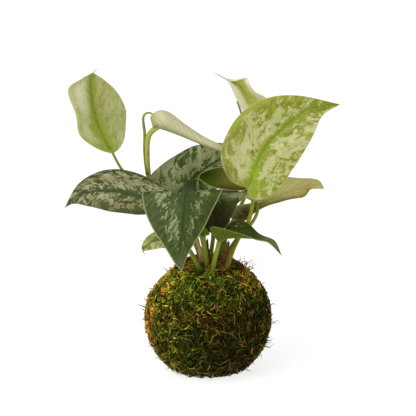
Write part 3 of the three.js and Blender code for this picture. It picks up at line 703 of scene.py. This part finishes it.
# Points from the crown up, with the radius at the foot and at the top, in millimetres
STALKS = {
    "petiole_upper_left": ([
        (-5.5, 9, 95), (-9, 11, 105.5), (-19.5, 15, 124.5), (-42, 23, 144.5), (-63.5, 30, 158.5),
        (-76.3, 32, 174), (-83.5, 30.5, 187.5), (-86, 32, 191)], 2.1, 1.0),
    "petiole_left": ([
        (-6, 1, 97), (-9, 1, 108), (-13, 0, 118), (-22.5, -2, 140.5), (-29, -4, 149),
        (-36, -3, 153.6)], 2.0, 1.7),
    "petiole_front": ([
        (-4.5, -8, 98.5), (-7.5, -11, 111), (-11.5, -17, 130), (-15, -20, 147), (-17.5, -19, 158)], 2.0, 1.7),
    "petiole_back": ([
        (-0.5, 12, 97), (-3.5, 13, 108), (-8, 18, 124), (-17.5, 22, 142), (-25, 20.5, 152)], 2.0, 1.7),
    "petiole_unfurling": ([
        (-4.5, 18, 98.5), (-10.5, 22, 109.5), (-26.5, 28, 131.5), (-42.5, 28, 147), (-50, 25, 158.5),
        (-52, 21, 169), (-53, 14, 187), (-52.6, 10, 202), (-50.6, 8, 209), (-47, 6.8, 213.2),
        (-42, 6.2, 217)], 2.0, 2.5),
    "petiole_curled": ([
        (14, -4, 99.5), (14.5, -3, 113), (16, 0, 124.5), (18.5, 2, 138), (23, 3, 148), (29.5, 3, 154.5),
        (33.5, 2.2, 161.2)], 1.8, 1.5),
    "petiole_upper_right": ([
        (16.8, -16, 98.5), (21.5, -15, 112.5), (27.3, -14, 124), (35.5, -13, 138.5), (38.5, -13, 155),
        (38.4, -15.2, 172.5)], 2.7, 1.3),
    "petiole_twisted": ([
        (9, 6, 98), (13, 11, 110), (16.5, 17, 120.5), (29.5, 33, 141.5), (43, 48, 174.5),
        (47, 51, 210)], 2.0, 1.6),
    "petiole_lower_right": ([
        (14, 1, 99), (22.5, 5, 113), (31.5, 8, 123), (38.5, 9, 130.5), (43.2, 12, 139.5),
        (42.3, 19, 146.3)], 1.9, 1.4),
    "petiole_small_right": ([
        (4, -24, 96.5), (6, -26, 107.5), (8.2, -27.3, 116), (10.6, -26.6, 127)], 2.3, 1.9),
    "petiole_shaded": ([
        (2, -1, 102), (3.5, 1, 111.5), (4.5, 5, 120.5), (3.5, 13, 139.5), (1.6, 10.5, 158.5)], 2.0, 1.7),
    "petiole_small_left": ([
        (-7.5, -22, 97), (-11.5, -20, 105), (-17, -17, 113), (-23, -12, 117), (-29, -8.5, 119)], 2.4, 1.7),
    "petiole_hidden": ([
        (-1, -18, 98), (-2.5, -18, 110.5), (-3.5, -18, 117.5), (-4.4, -17.6, 128)], 2.5, 2.1),
}
SHEATHS = {
    "sheath_unfurling": ([
        (-53, 18, 172), (-54.4, 15, 184), (-55, 11, 196), (-54.8, 9.5, 204), (-54.9, 8.8, 211),
        (-55.7, 8.5, 217.5), (-56, 8, 222.5), (-55, 7.5, 226), (-52.3, 7, 228), (-49, 6.5, 227.6),
        (-46.5, 6, 225.5)], 1.7, 0.7),
    "sheath_twisted": ([
        (40.5, 46, 184), (36.5, 44, 200.5), (31.5, 42, 214.5), (28.5, 41, 225), (25.5, 41, 233)], 1.6, 0.7),
}
# For each dried sheath: its points, width, wave, and its two colours with how blotched it is
DRY_SHEATHS = {
    "dry_sheath_left": ([(-5, -13, 96), (-6.8, -17.5, 110), (-9.2, -20.5, 121.5)], 4.6, 0.0,
                        ((206, 172, 116), (164, 124, 74), 0.25)),
    "dry_sheath_middle": ([(0.5, -10, 96), (0, -10.5, 109), (-1, -10, 119.5)], 3.6, 2.0,
                          ((118, 84, 50), (66, 44, 24), 0.6)),
    "dry_sheath_right": ([(13, -11.5, 96), (15.5, -11.5, 108), (18, -11, 118)], 4.4, 4.0,
                         ((164, 122, 72), (108, 74, 40), 0.5)),
}
ROOTED = 8.0  # mm of a stalk below its first point
STALK_ROW = 1.6
STALK_SIDES = 20
SHEATH_ROWS = 40
SHEATH_SIDES = 12
SHRED_ROWS = 30
SHRED_COLUMNS = 10


def tube(points, foot, top, rows, sides, section=lambda turn, share: 1.0):
    """A closed tube along the points."""
    def shape(across, along):
        row = np.rint(along * rows)
        share = np.clip((row - 1) / (rows - 2), 0, 1)
        turn = (across + 1) * math.pi
        radius = (foot + (top - foot) * share) * section(turn, share)
        radius = np.where((row < 1) | (row > rows - 1), 0, radius)
        return round_curve(points, share, (0, 1, 0), radius, turn), dict(run=share)
    bm = shaped_grid(sides, rows, shape)
    bmesh.ops.recalc_face_normals(bm, faces=bm.faces)
    return bm


def stalk_section(turn, share):
    """A shallow channel along the back, closing towards the blade, and a wider foot."""
    channel = 0.28 * bell(np.angle(np.exp(1j * (turn - math.pi / 2))), 0.5) * (1 - 0.5 * share)
    return (1 - channel) * (1 + 0.22 * bell(share, 0.12) + 0.1 * bell(1 - share, 0.04))


def stalk_finish(name, foot_colour, top_colour, stained=1.0):
    finish = Finish(name, 0.45, 0.14)
    run = finish.layer("run", "Fac")
    spot = finish.places()
    fibre = finish.drawn(spot, (900, 900, 60), 3.0)
    colour = finish.lay(foot_colour, top_colour, run, 0.0, 0.75)
    colour = finish.lay(colour, (158, 160, 46), fibre, 0.35, 0.7, 0.35)
    mottle = finish.noise(spot, 160.0)
    colour = finish.lay(colour, (96, 110, 24), mottle, 0.5, 0.75, 0.4)
    stain = finish.times(finish.step(run, 0.16, 0.02, 0.0, stained), finish.step(mottle, 0.4, 0.6))
    finish.relief(fibre, 0.15)
    return finish.done(finish.mix(stain, colour, (92, 72, 30)))


def dry_finish(name, light, dark, blotched):
    """Papery and streaked along its length, darker in patches."""
    finish = Finish(name, 0.85, 0.1)
    fibre = finish.drawn(finish.places(), (1500, 1500, 110))
    patch = finish.speckle(260.0, 3.0)
    finish.relief(fibre, 0.5)
    return finish.done(finish.lay(finish.lay(light, dark, fibre, 0.32, 0.68), (58, 38, 20),
                                  patch, 0.5, 0.7, blotched))


def shred_shape(points, width, wave):
    """A torn strip along the points: cupped across, waved, and ragged towards its tip."""
    def shape(across, along):
        centre, forward, side, face = curve_frame(points, along, (0.25, 1, 0))
        tear = soft_noise(np.stack([across * 3 + wave, along * 9, across * 0], 1), 1.0) - 0.5
        half = width / 2 * (1 - 0.65 * along**1.5) * (1 + 0.5 * tear * smooth_step(along, 0.2, 0.6))
        slit = 3.5 * tear * smooth_step(along, 0.5, 1.0)
        bow = 0.28 * half * across**2 + 0.5 * np.sin(along * 8 + wave + across)
        place = centre + side * (half * across)[:, None] + face * bow[:, None] + forward * slit[:, None]
        return place, dict(body=np.full(len(across), 0.6))
    return shape


def rooted(points):
    first = np.array(points[0], float)
    away = unit(first - np.array(points[1], float))
    return [tuple(first + away * ROOTED), *points]


stalk_look = stalk_finish("stalk", (74, 102, 4), (136, 146, 40))
OTHER_STALK_LOOKS = {
    "petiole_upper_right": stalk_finish("olive_stalk", (98, 88, 8), (132, 132, 34)),
    "petiole_unfurling": stalk_finish("pale_stalk", (74, 102, 4), (176, 178, 92))}
sheath_look = stalk_finish("live_sheath", (112, 122, 34), (140, 142, 66), 0.0)
for node, (points, foot, top) in STALKS.items():
    route = rooted(points)
    length = np.linalg.norm(np.diff(np.array(route, float), axis=0), axis=1).sum()
    stalk = tube(route, foot, top, int(length / STALK_ROW), STALK_SIDES, stalk_section)
    keep(node + "_stalk", stalk, [OTHER_STALK_LOOKS.get(node, stalk_look)], "stalk", node)
for node, (points, foot, top) in SHEATHS.items():
    sheath = tube(points, foot, top, SHEATH_ROWS, SHEATH_SIDES)
    keep(node + "_tail", sheath, [sheath_look], "stalk", node)
for node, (points, width, wave, colours) in DRY_SHEATHS.items():
    shred = shaped_grid(SHRED_COLUMNS, SHRED_ROWS, shred_shape(points, width, wave))
    keep_sheet(node + "_shred", shred, [dry_finish(node, *colours)] * 3, "dry_sheath", node)


# ---- the ball

def ball_height(radius, across):
    return BALL_CENTRE[2] + math.sqrt(radius**2 - across**2)


def arc(radius, low, high, steps):
    """Part of a circle about the ball's centre, between two heights."""
    turns = np.linspace(math.asin((low - BALL_CENTRE[2]) / radius),
                        math.asin((high - BALL_CENTRE[2]) / radius), steps)
    return [(radius * math.cos(turn), BALL_CENTRE[2] + radius * math.sin(turn)) for turn in turns]


def way_out(turn, height):
    """The way out from the ball's centre at a turn, and at a height of -1 to 1."""
    level = np.sqrt(1 - height**2)
    return np.stack([level * np.cos(turn), level * np.sin(turn), height], 1)


def spun(profile, steps):
    """Turns a closed outline of (radius, height) about the vertical axis."""
    bm = bmesh.new()
    points = [bm.verts.new((radius * MM, 0, height * MM)) for radius, height in profile]
    edges = [bm.edges.new(pair) for pair in zip(points[:-1], points[1:])]
    bmesh.ops.spin(bm, geom=points + edges, axis=(0, 0, 1), cent=(0, 0, 0), steps=steps,
                   angle=math.tau, use_merge=True)
    bmesh.ops.remove_doubles(bm, verts=bm.verts, dist=WELD)
    bmesh.ops.recalc_face_normals(bm, faces=bm.faces)
    return bm


def roughen(bm, amount, scale, where, inwards=lambda outwards: 0.0):
    places = np.array([vert.co for vert in bm.verts]) / MM
    lumps = (soft_noise(places, scale) - 0.5) + 0.5 * (soft_noise(places, scale / 2.3, 11) - 0.5)
    outwards = unit(places - BALL_CENTRE)
    places = places + outwards * (amount * lumps * where(places) - inwards(outwards))[:, None]
    for vert, place in zip(bm.verts, places.tolist()):
        vert.co = Vector(place) * MM


def shoulder(outwards):
    """How far the moss slopes in from a true ball towards the crown, more to the left."""
    leftness = smooth_step(-outwards[:, 0], -0.3, 0.5)
    return smooth_step(outwards[:, 2], 0.2, 0.72) * (1.3 + 1.5 * leftness)


PAD_RADIUS = 52.6
PAD_INSIDE = 48.0
PAD_FLOOR = 6.0
PAD_UNDERSIDE = 0.4
PAD_EDGE = 1.0
PAD_ROWS = 70
PAD_INNER_ROWS = 30
PAD_SEGMENTS = 160


def moss_pad():
    """The dense mat under the loose moss: a shell, open at the crown."""
    outer = arc(PAD_RADIUS, PAD_EDGE, ball_height(PAD_RADIUS, CROWN_RADIUS), PAD_ROWS)
    inner = arc(PAD_INSIDE, PAD_FLOOR, ball_height(PAD_INSIDE, CROWN_RADIUS), PAD_INNER_ROWS)
    foot = [(0, PAD_UNDERSIDE), (outer[0][0] - PAD_EDGE, PAD_UNDERSIDE)]
    pad = spun([*foot, *outer, *reversed(inner), (0, PAD_FLOOR)], PAD_SEGMENTS)
    roughen(pad, 2.4, 5.0, lambda places: smooth_step(places[:, 2], 0.5, 6.0), shoulder)
    return pad


def pad_finish():
    finish = Finish("moss_pad", 1.0, 0.1)
    tangle = finish.speckle(420.0, 5.0, 0.65)
    patch = finish.speckle(55.0, 3.0)
    # The mat's own dark colour, made near-black as painted shade in the gaps between the loose strands.
    colour = finish.lay((12, 11, 4), (40, 38, 12), tangle, 0.35, 0.65)
    finish.relief(tangle, 1.2)
    return finish.done(finish.lay(colour, (54, 38, 18), patch, 0.45, 0.6, 0.6))


SOIL_RADIUS = 47.6
SOIL_NECK = 24.7
SOIL_FLOOR = PAD_FLOOR + 0.4
SOIL_ROWS = 40
DOME_ROWS = 24
DOME_RISE = 3.5
SOIL_SEGMENTS = 120
LIP = ball_height(BALL_RADIUS, CROWN_RADIUS)


def soil_height(share):
    """How high the dome of soil in the crown is, at a share of the way out from its middle."""
    return LIP - 1 + DOME_RISE * (1 - share**2)


def soil_ball():
    side = arc(SOIL_RADIUS, SOIL_FLOOR, ball_height(SOIL_RADIUS, SOIL_NECK), SOIL_ROWS)
    dome = [(SOIL_NECK * share, soil_height(share)) for share in np.linspace(1, 0, DOME_ROWS)]
    soil = spun([(0, SOIL_FLOOR), *side, *dome], SOIL_SEGMENTS)
    roughen(soil, 3.0, 3.2, lambda places: smooth_step(places[:, 2], 92, 96))
    return soil


def soil_finish():
    finish = Finish("potting_soil", 0.95, 0.15)
    crumb = finish.speckle(700.0, 5.0, 0.65)
    finish.relief(crumb, 0.9)
    return finish.done(finish.lay((26, 16, 8), (92, 64, 36), crumb, 0.3, 0.7))


keep("moss_pad", moss_pad(), [pad_finish()], "moss", "moss_mat")
keep("soil", soil_ball(), [soil_finish()], "soil", "soil_ball")


# ---- what is scattered in thousands

def template(bm):
    """Closes off a shape one unit long that is scattered in copies, and gives its points too."""
    bmesh.ops.triangulate(bm, faces=bm.faces)
    bmesh.ops.recalc_face_normals(bm, faces=bm.faces)
    return bm, np.array([vert.co for vert in bm.verts])


def stem(cuts, thick=1.0):
    """A three-sided stem from x 0 to 1 that swells and then tapers to a tip."""
    bm = bmesh.new()
    lengthways = Matrix.Translation((0.5, 0, 0)) @ Matrix.Rotation(math.pi / 2, 4, "Y")
    bmesh.ops.create_cone(bm, cap_ends=True, segments=3, radius1=0.5, radius2=0.5, depth=1,
                          matrix=lengthways)
    for cut in range(1, cuts + 1):
        bmesh.ops.bisect_plane(bm, geom=bm.verts[:] + bm.edges[:] + bm.faces[:], dist=WELD,
                               plane_co=(cut / (cuts + 1), 0, 0), plane_no=(1, 0, 0))
    for vert in bm.verts:
        slim = 0.45 + 2.2 * vert.co.x * (1 - vert.co.x) if vert.co.x < 0.99 else 0.08
        vert.co.y *= slim * thick
        vert.co.z *= slim * thick
    return bm


FROND_LENGTH = 6.5
FROND_WIDTH = 1.2
LEAFLETS = 13
LEAFLET_LEAN = math.radians(38)


def frond_template():
    """A moss frond one unit long and wide, with pointed leaflets to both sides and above."""
    bm = stem(3, 0.45)
    unit_size = Matrix.Diagonal((1 / FROND_LENGTH, 1 / FROND_WIDTH, 1 / FROND_WIDTH, 1))
    leans = [Matrix.Rotation(LEAFLET_LEAN * way, 4, axis) for way, axis in ((1, "Z"), (-1, "Z"), (-1, "Y"))]
    for k in range(LEAFLETS):
        long = 1.5 - 0.5 * k / LEAFLETS
        along = Matrix.Translation((0.4 + 5.2 * k / LEAFLETS, 0, 0.05))
        outward = Matrix.Translation((long / 2, 0, 0)) @ Matrix.Rotation(math.pi / 2, 4, "Y")
        bmesh.ops.create_cone(bm, cap_ends=False, segments=3, radius1=0.27, radius2=0, depth=long,
                              matrix=unit_size @ along @ leans[k % 3] @ outward)
    return template(bm)


def chip_template():
    """A crumb of bark one unit long, of uneven corners."""
    bm = bmesh.new()
    bmesh.ops.create_cube(bm, size=1)
    for k, vert in enumerate(bm.verts):
        vert.co.y *= 0.35 + 0.08 * (k % 3)
        vert.co.z *= 0.16 + 0.05 * (k % 4)
    return template(bm)


def scatter(name, shape, places, tints, look, slot, depth=None):
    """Copies a template by repeated doubling, and moves the copies to places, in millimetres.

    places has a point for each copy and each of the template's points.
    """
    copies, points = places.shape[:2]
    bm = shape[0].copy()
    while len(bm.verts) < copies * points:
        more = min(len(bm.verts), copies * points - len(bm.verts))
        bm.verts.ensure_lookup_table()
        first = bm.verts[:more]
        faces = list({face: None for vert in first for face in vert.link_faces})
        edges = list({edge: None for vert in first for edge in vert.link_edges})
        bmesh.ops.duplicate(bm, geom=first + edges + faces)
    mesh = as_mesh(name, bm)
    mesh.vertices.foreach_set("co", (places * MM).astype(np.float32).ravel())
    depth = np.ones((copies, points)) if depth is None else depth
    for layer, kind, field, values in (("tint", "FLOAT_VECTOR", "vector", np.repeat(tints, points, axis=0)),
                                       ("lit", "FLOAT", "value", depth)):
        mesh.attributes.new(layer, kind, "POINT").data.foreach_set(field, values.astype(np.float32).ravel())
    mesh.update()
    keep(name, mesh, [look], slot)


def above_floor(places):
    places[..., 2] = np.maximum(places[..., 2], FLOOR_GAP)
    return places


def crossways(rng, outwards):
    """Random ways to lie, at right angles to the given ones."""
    return unit(np.cross(outwards, rng.normal(size=outwards.shape)))


def bent(shape, roots, lengthways, outwards, length, width, curl, rise, fall):
    """Places copies of a template: each bends sideways by curl, and rises and falls along its way."""
    along, y, z = shape[1].T[:, None, :, None]
    sideways = np.cross(outwards, lengthways)[:, None]
    outwards = outwards[:, None]
    reach, width, curl, rise, fall = (values[:, None, None] for values in (length, width, curl, rise, fall))
    wave = curl * (along**2 - 0.35 * np.sin(along * 5.0))
    spine = (roots[:, None] + lengthways[:, None] * reach * along + sideways * reach * wave
             + outwards * (rise * np.sin(along * math.pi * 0.8) - fall * along**2))
    return above_floor(spine + (sideways * y + outwards * z) * width)


def coiled(shape, roots, ahead, length, width, coil, turns, rng):
    """Places copies of a template as hairs that run ahead and curl ever more."""
    along, y, z = shape[1].T[:, None, :, None]
    side = unit(np.cross(ahead, rng.normal(size=ahead.shape)))
    phase = rng.uniform(0, math.tau, len(roots))[:, None, None]
    roots, ahead, side, other = (values[:, None] for values in (roots, ahead, side, np.cross(ahead, side)))
    length, width, coil, turns = (values[:, None, None] for values in (length, width, coil, turns))
    turn = turns * math.tau * along + phase
    centre = (roots + ahead * length * along + side * coil * along * (np.cos(turn) - np.cos(phase))
              + other * coil * along * (np.sin(turn) - np.sin(phase)))
    return above_floor(centre + (side * y + other * z) * width * (1.25 - along))


def strand_finish(name, roughness, deepest_shade):
    """Each strand has its own tint, with painted shade: it is darker the deeper it lies in the moss, and a
    little lighter at the outermost tips.
    """
    finish = Finish(name, roughness, 0.08)
    finish.fill({"Sheen Weight": 0.18, "Sheen Roughness": 0.4, "Sheen Tint": (226, 184, 70)})
    fine = finish.speckle(700.0, 3.0)
    colour = finish.lay(finish.layer("tint", "Color"), (36, 36, 10), fine, 0.35, 0.7, 0.35)
    # Painted shade: the lit layer darkens strands that lie deep in the moss, and lightens the outermost a
    # little.
    lit = finish.step(finish.layer("lit", "Fac"), 0.1, 0.9, deepest_shade, 1.1)
    return finish.done(finish.mix(1.0, colour, finish.grey(finish.calc("POWER", lit, 1.9)), "MULTIPLY"))


LOWEST_MOSS = 1.2


def on_ball(rng, count, low, high):
    """Random places over the moss, between two radii, with the way out at each."""
    radius = rng.uniform(low, high, count)
    lowest, highest = ((height - BALL_CENTRE[2]) / BALL_RADIUS for height in (LOWEST_MOSS, LIP))
    height = rng.uniform(lowest, highest, count)
    outwards = way_out(rng.uniform(0, math.tau, count), height)
    return BALL_CENTRE + outwards * (radius - shoulder(outwards))[:, None], outwards


def on_crown(rng, count, inner, outer, low, high):
    """Random places on the dome of soil between the stalks, with the way out at each."""
    across = np.sqrt(rng.uniform(inner**2, outer**2, count))
    turn = rng.uniform(0, math.tau, count)
    height = soil_height(across / SOIL_NECK) + rng.uniform(low, high, count)
    level = np.stack([across * np.cos(turn), across * np.sin(turn)], 1)
    return np.column_stack([level, height]), unit(np.column_stack([level / 60, np.ones(count)]))


GREENS = as_light([(60, 94, 16), (94, 112, 24), (134, 136, 38), (164, 138, 46), (160, 108, 40),
                   (106, 70, 30)])
FRONT_TOP = (6, -36, 86)


def moss_tints(rng, places, spread):
    """Green in the middle, yellower to the left, brown in patches, with painted light and shade: lighter and
    ochre round the rim, lighter to the top and left, darker to the right and below.
    """
    count = len(places)
    out = (places - BALL_CENTRE) / BALL_RADIUS
    patch = 0.5 * soft_noise(places, 21, 3) + 0.5 * soft_noise(places, 11, 5)
    small = soft_noise(places, 6, 9)
    blot = soft_noise(places, 12, 41)
    # rim marks the sides of the ball, where painted rim light makes the moss lighter and more ochre.
    rim = smooth_step(np.hypot(out[:, 0], out[:, 2]) + 0.3 * (small - 0.5) + 0.3 * (blot - 0.5), 0.86, 1.06)
    left = smooth_step(-out[:, 0], 0.0, 0.6)
    right = smooth_step(out[:, 0], 0.0, 0.4)
    front_top = bell(np.linalg.norm(places - FRONT_TOP, axis=1), 22)
    height = np.clip(places[:, 2] / 100, 0, 1)
    # Painted light and shade: lighter towards the top and the left, darker to the right and low down, a
    # little lighter round FRONT_TOP.
    shade = 0.15 + 0.1 * left + 1.55 * height**5 + 0.15 * front_top
    shade *= (1 + left * (0.85 - 0.72 * height)) * (1 - 0.35 * right)
    edge_light = (0.34 + 0.5 * left) * (1.2 - height) * smooth_step(places[:, 2], 10, 45)
    shade += edge_light * rim * (0.4 + 1.2 * blot)
    spread = spread * (1.3 - 0.75 * np.clip(shade, 0, 1))
    light = np.clip(rng.lognormal(0.1 - spread**2 / 2, spread), 0.1, 3.3)
    # The rim term in mood turns the sides ochre as painted rim light; the rest of mood is the moss's own
    # colour.
    mood = (2.6 * (patch - 0.47) + 1.6 * (small - 0.5)) * (1 - 0.5 * rim)
    mood += 0.85 + 2.1 * rim + 0.1 * left - 0.2 * front_top + 0.45 * np.log(light)
    mood = np.clip(mood + rng.normal(0, 0.6, count), 0, 4.6)
    brown = rng.random(count) < 0.06 + 0.35 * smooth_step(patch, 0.5, 0.68)
    mood = np.where(brown, rng.uniform(3.2, 5, count), mood)
    low = np.floor(mood).astype(int)
    share = (mood - low)[:, None]
    tints = GREENS[low] * (1 - share) + GREENS[np.minimum(low + 1, 5)] * share
    shade *= light * (0.35 + 0.7 * soft_noise(places, 7, 21) + 0.6 * soft_noise(places, 3.2, 33))
    return tints * np.minimum(shade, 2.1)[:, None]


def moss_piece(name, shape, seed, count, radius, length, width, rise, brightness, spread):
    rng = np.random.default_rng(seed)
    roots, outwards = on_ball(rng, count, *radius)
    across = crossways(rng, outwards)
    reach = rng.uniform(*length, count)
    lift = rng.uniform(*rise, count)
    fall = lift * rng.uniform(0.2, 1.0, count) + reach**2 / (2 * BALL_RADIUS)
    places = bent(shape, roots, across, outwards, reach, rng.uniform(*width, count),
                  rng.uniform(-0.45, 0.45, count), lift, fall)
    # Painted shade: how far each point lies above the pad sets how dark it is drawn.
    deep = np.linalg.norm(places - BALL_CENTRE, axis=2) - PAD_RADIUS
    depth = (deep + shoulder(outwards)[:, None] - 0.2) / 2.4
    scatter(name, shape, places, moss_tints(rng, roots, spread) * brightness, moss_look, "moss", depth)


frond = frond_template()
strand = template(stem(4))
hair = template(stem(20))
moss_look = strand_finish("moss_frond", 0.8, 0.1)
fibre_look = strand_finish("dry_fibre", 0.85, 0.7)
for k in range(4):
    moss_piece(f"moss_fronds_{k + 1}", frond, 20 + k, 2500, (52.2, 54.4), (4.5, 8.5),
               (0.9, 1.4), (0.1, 2.0), 0.52, 0.6)
for k in range(3):
    moss_piece(f"moss_strands_{k + 1}", strand, 30 + k, 2900, (52.8, 55.0), (3.2, 7.2),
               (0.5, 1.05), (0.3, 2.6), 2.0, 0.95)


# ---- crown, rootlets and strays

TANS = as_light([(172, 124, 70), (128, 84, 40), (92, 58, 28), (62, 39, 19)])
STRAY_TINTS = as_light([(168, 150, 74), (150, 104, 48), (120, 132, 40)])
TUFT = (31, -6, 92)


def any_of(tints, rng, count, low, high):
    """A tint for each, darker or brighter by chance."""
    return tints[rng.integers(0, len(tints), count)] * rng.uniform(low, high, (count, 1))


def lying_on_crown(rng, shape, count, ring, lift, length, width, curl, drop):
    """Places copies of a template flat on the crown; gives their roots too."""
    roots, outwards = on_crown(rng, count, *ring)
    across = crossways(rng, outwards)
    rise = rng.uniform(*lift, count)
    return roots, bent(shape, roots, across, outwards, rng.uniform(*length, count),
                       rng.uniform(*width, count), rng.uniform(-curl, curl, count), rise, drop * rise)


def crown_moss():
    rng = np.random.default_rng(40)
    roots, places = lying_on_crown(rng, frond, 1500, (9, 26.5, -0.6, 0.9), (0.3, 2.4), (3.5, 7.5),
                                   (0.8, 1.4), 0.45, 0.6)
    # Painted shade: crown moss lying low on the soil is drawn darker.
    depth = (places[..., 2] - roots[:, None, 2]) / 1.5 + 0.35
    scatter("crown_moss", frond, places, moss_tints(rng, roots, 0.6), moss_look, "moss", depth)


def crown_fibres():
    """Dried fibres between the stalks and over the lip of the moss."""
    rng = np.random.default_rng(41)
    count = 420
    places = lying_on_crown(rng, strand, count, (3, 22, 0.0, 1.6), (0.3, 3.0), (3.5, 9.0),
                            (0.4, 0.95), 0.6, 0.5)[1]
    scatter("crown_fibres", strand, places, any_of(TANS, rng, count, 0.7, 1.5), fibre_look, "soil")


def bark_crumbs():
    rng = np.random.default_rng(42)
    count = 520
    chip = chip_template()
    roots, _ = on_crown(rng, count, 0, 22, -0.3, 1.4)
    ahead = unit(rng.normal(size=(count, 3)) * (1, 1, 0.5))
    side = crossways(rng, ahead)
    axes = np.stack([ahead, side, np.cross(ahead, side)], 1)
    places = roots[:, None] + (chip[1] @ axes) * rng.uniform(1.0, 3.6, count)[:, None, None]
    scatter("bark_crumbs", chip, places, any_of(TANS, rng, count, 0.7, 1.5), fibre_look, "soil")


def stray_fibres():
    """Long pale and brown fibres that lie over the moss."""
    rng = np.random.default_rng(46)
    count = 420
    roots, outwards = on_ball(rng, count, 54.0, 55.0)
    across = crossways(rng, outwards)
    reach = rng.uniform(6, 13, count)
    places = bent(strand, roots, across, outwards, reach, rng.uniform(0.35, 0.7, count),
                  rng.uniform(-0.35, 0.35, count), rng.uniform(0.3, 1.4, count), reach**2 / (2 * BALL_RADIUS))
    scatter("stray_fibres", strand, places, any_of(STRAY_TINTS, rng, count, 0.6, 1.2), fibre_look, "moss")


def rootlets(name, seed, count, length, width, coil, turns, spread, where):
    """Curly brown rootlets that stand out of the ball."""
    rng = np.random.default_rng(seed)
    roots, outwards = where(rng, count)
    ahead = unit(outwards + spread * rng.normal(size=(count, 3)))
    places = coiled(hair, roots, ahead, rng.uniform(*length, count), rng.uniform(*width, count),
                    rng.uniform(*coil, count), rng.uniform(*turns, count), rng)
    scatter(name, hair, places, any_of(TANS, rng, count, 0.7, 1.5), fibre_look, "soil")


def in_moss(rng, count):
    return on_ball(rng, count, 53.0, 54.5)


def round_crown(rng, count):
    return on_crown(rng, count, 8, 29, -1.0, 0.5)


def in_tuft(rng, count):
    """Close together at the right of the crown, where roots curl up out of the moss."""
    outwards = unit(np.array(TUFT) - BALL_CENTRE + rng.normal(0, 3.0, (count, 3)))
    return BALL_CENTRE + outwards * 53.5, outwards


crown_moss()
crown_fibres()
bark_crumbs()
rootlets("ball_rootlets", 43, 260, (3.0, 8.0), (0.7, 1.25), (0.5, 1.8), (0.5, 1.6), 0.8, in_moss)
rootlets("crown_rootlets", 44, 90, (4.0, 10.0), (0.6, 1.2), (0.8, 2.4), (0.6, 1.8), 0.7, round_crown)
rootlets("long_rootlets", 45, 80, (7.0, 11.5), (0.85, 1.4), (1.0, 2.6), (0.6, 1.5), 0.7, in_moss)
rootlets("crown_tuft", 47, 16, (8.0, 15.0), (0.7, 1.2), (2.0, 4.2), (0.8, 1.7), 0.45, in_tuft)
stray_fibres()


# ---- thread

THREAD_TURNS = 5
THREAD_HEIGHTS = (7, 88)
THREAD_REACH = 54.0
THREAD_RADIUS = 0.25
THREAD_POINTS = 160
THREAD_ROWS = 800
THREAD_SIDES = 8


def thread_route():
    """The thread winds up round the ball, pressed a little into the moss."""
    share = np.linspace(0, 1, THREAD_POINTS)
    turn = math.tau * THREAD_TURNS * share
    low, high = THREAD_HEIGHTS
    rise = (low + (high - low) * share - BALL_CENTRE[2]) / THREAD_REACH
    outwards = way_out(turn, rise)
    press = 0.5 * soft_noise(outwards * THREAD_REACH, 6)
    return BALL_CENTRE + outwards * (THREAD_REACH - shoulder(outwards) - press)[:, None]


def thread_finish():
    finish = Finish("binding_thread", 0.8, 0.1)
    twist = finish.speckle(1800.0, 3.0)
    finish.relief(twist, 0.1)
    return finish.done(finish.mix(twist, (34, 40, 14), (66, 74, 28)))


thread = tube(thread_route(), THREAD_RADIUS, THREAD_RADIUS, THREAD_ROWS, THREAD_SIDES)
keep("thread_winding", thread, [thread_finish()], "thread", "binding_thread")


# ---- floor, light and camera

FLOOR_LIGHTNESS = 0.33

floor_grid = bmesh.new()
bmesh.ops.create_grid(floor_grid, x_segments=4, y_segments=4, size=14)
floor = show(bpy.data.objects.new("floor", as_mesh("floor", floor_grid)))
floor_paint = Finish("floor_paint", 0.9, 0.1)
floor_paint.fill({"Emission Color": (255, 255, 255), "Emission Strength": 0.8})
floor_paint.inputs["Base Color"].default_value = (*[FLOOR_LIGHTNESS] * 3, 1)
floor.data.materials.append(floor_paint.material)

world = bpy.data.worlds.new("studio")
bpy.context.scene.world = world
world.use_nodes = True
studio = world.node_tree.nodes["Background"].inputs
studio["Color"].default_value = (1, 1, 1, 1)
studio["Strength"].default_value = 0.5

key_light = show(bpy.data.objects.new("key_light", bpy.data.lights.new("key_light", "SUN")))
key_light.data.energy = 1.75
key_light.data.angle = math.radians(50)
key_light.data.color = (1.0, 0.985, 0.95)
key_light.rotation_euler = Vector((0.7, 0.75, -1.15)).to_track_quat("-Z", "Y").to_euler()

camera = show(bpy.data.objects.new("camera", bpy.data.cameras.new("camera")))
back = Vector((0, -math.cos(VIEW_ELEVATION), math.sin(VIEW_ELEVATION)))
camera.location = VIEW_TARGET + back * VIEW_DISTANCE
camera.rotation_euler = (-back).to_track_quat("-Z", "Y").to_euler()
camera.data.lens = VIEW_LENS
camera.data.sensor_width = VIEW_SENSOR
bpy.context.scene.camera = camera
bpy.context.scene.view_settings.view_transform = "Standard"
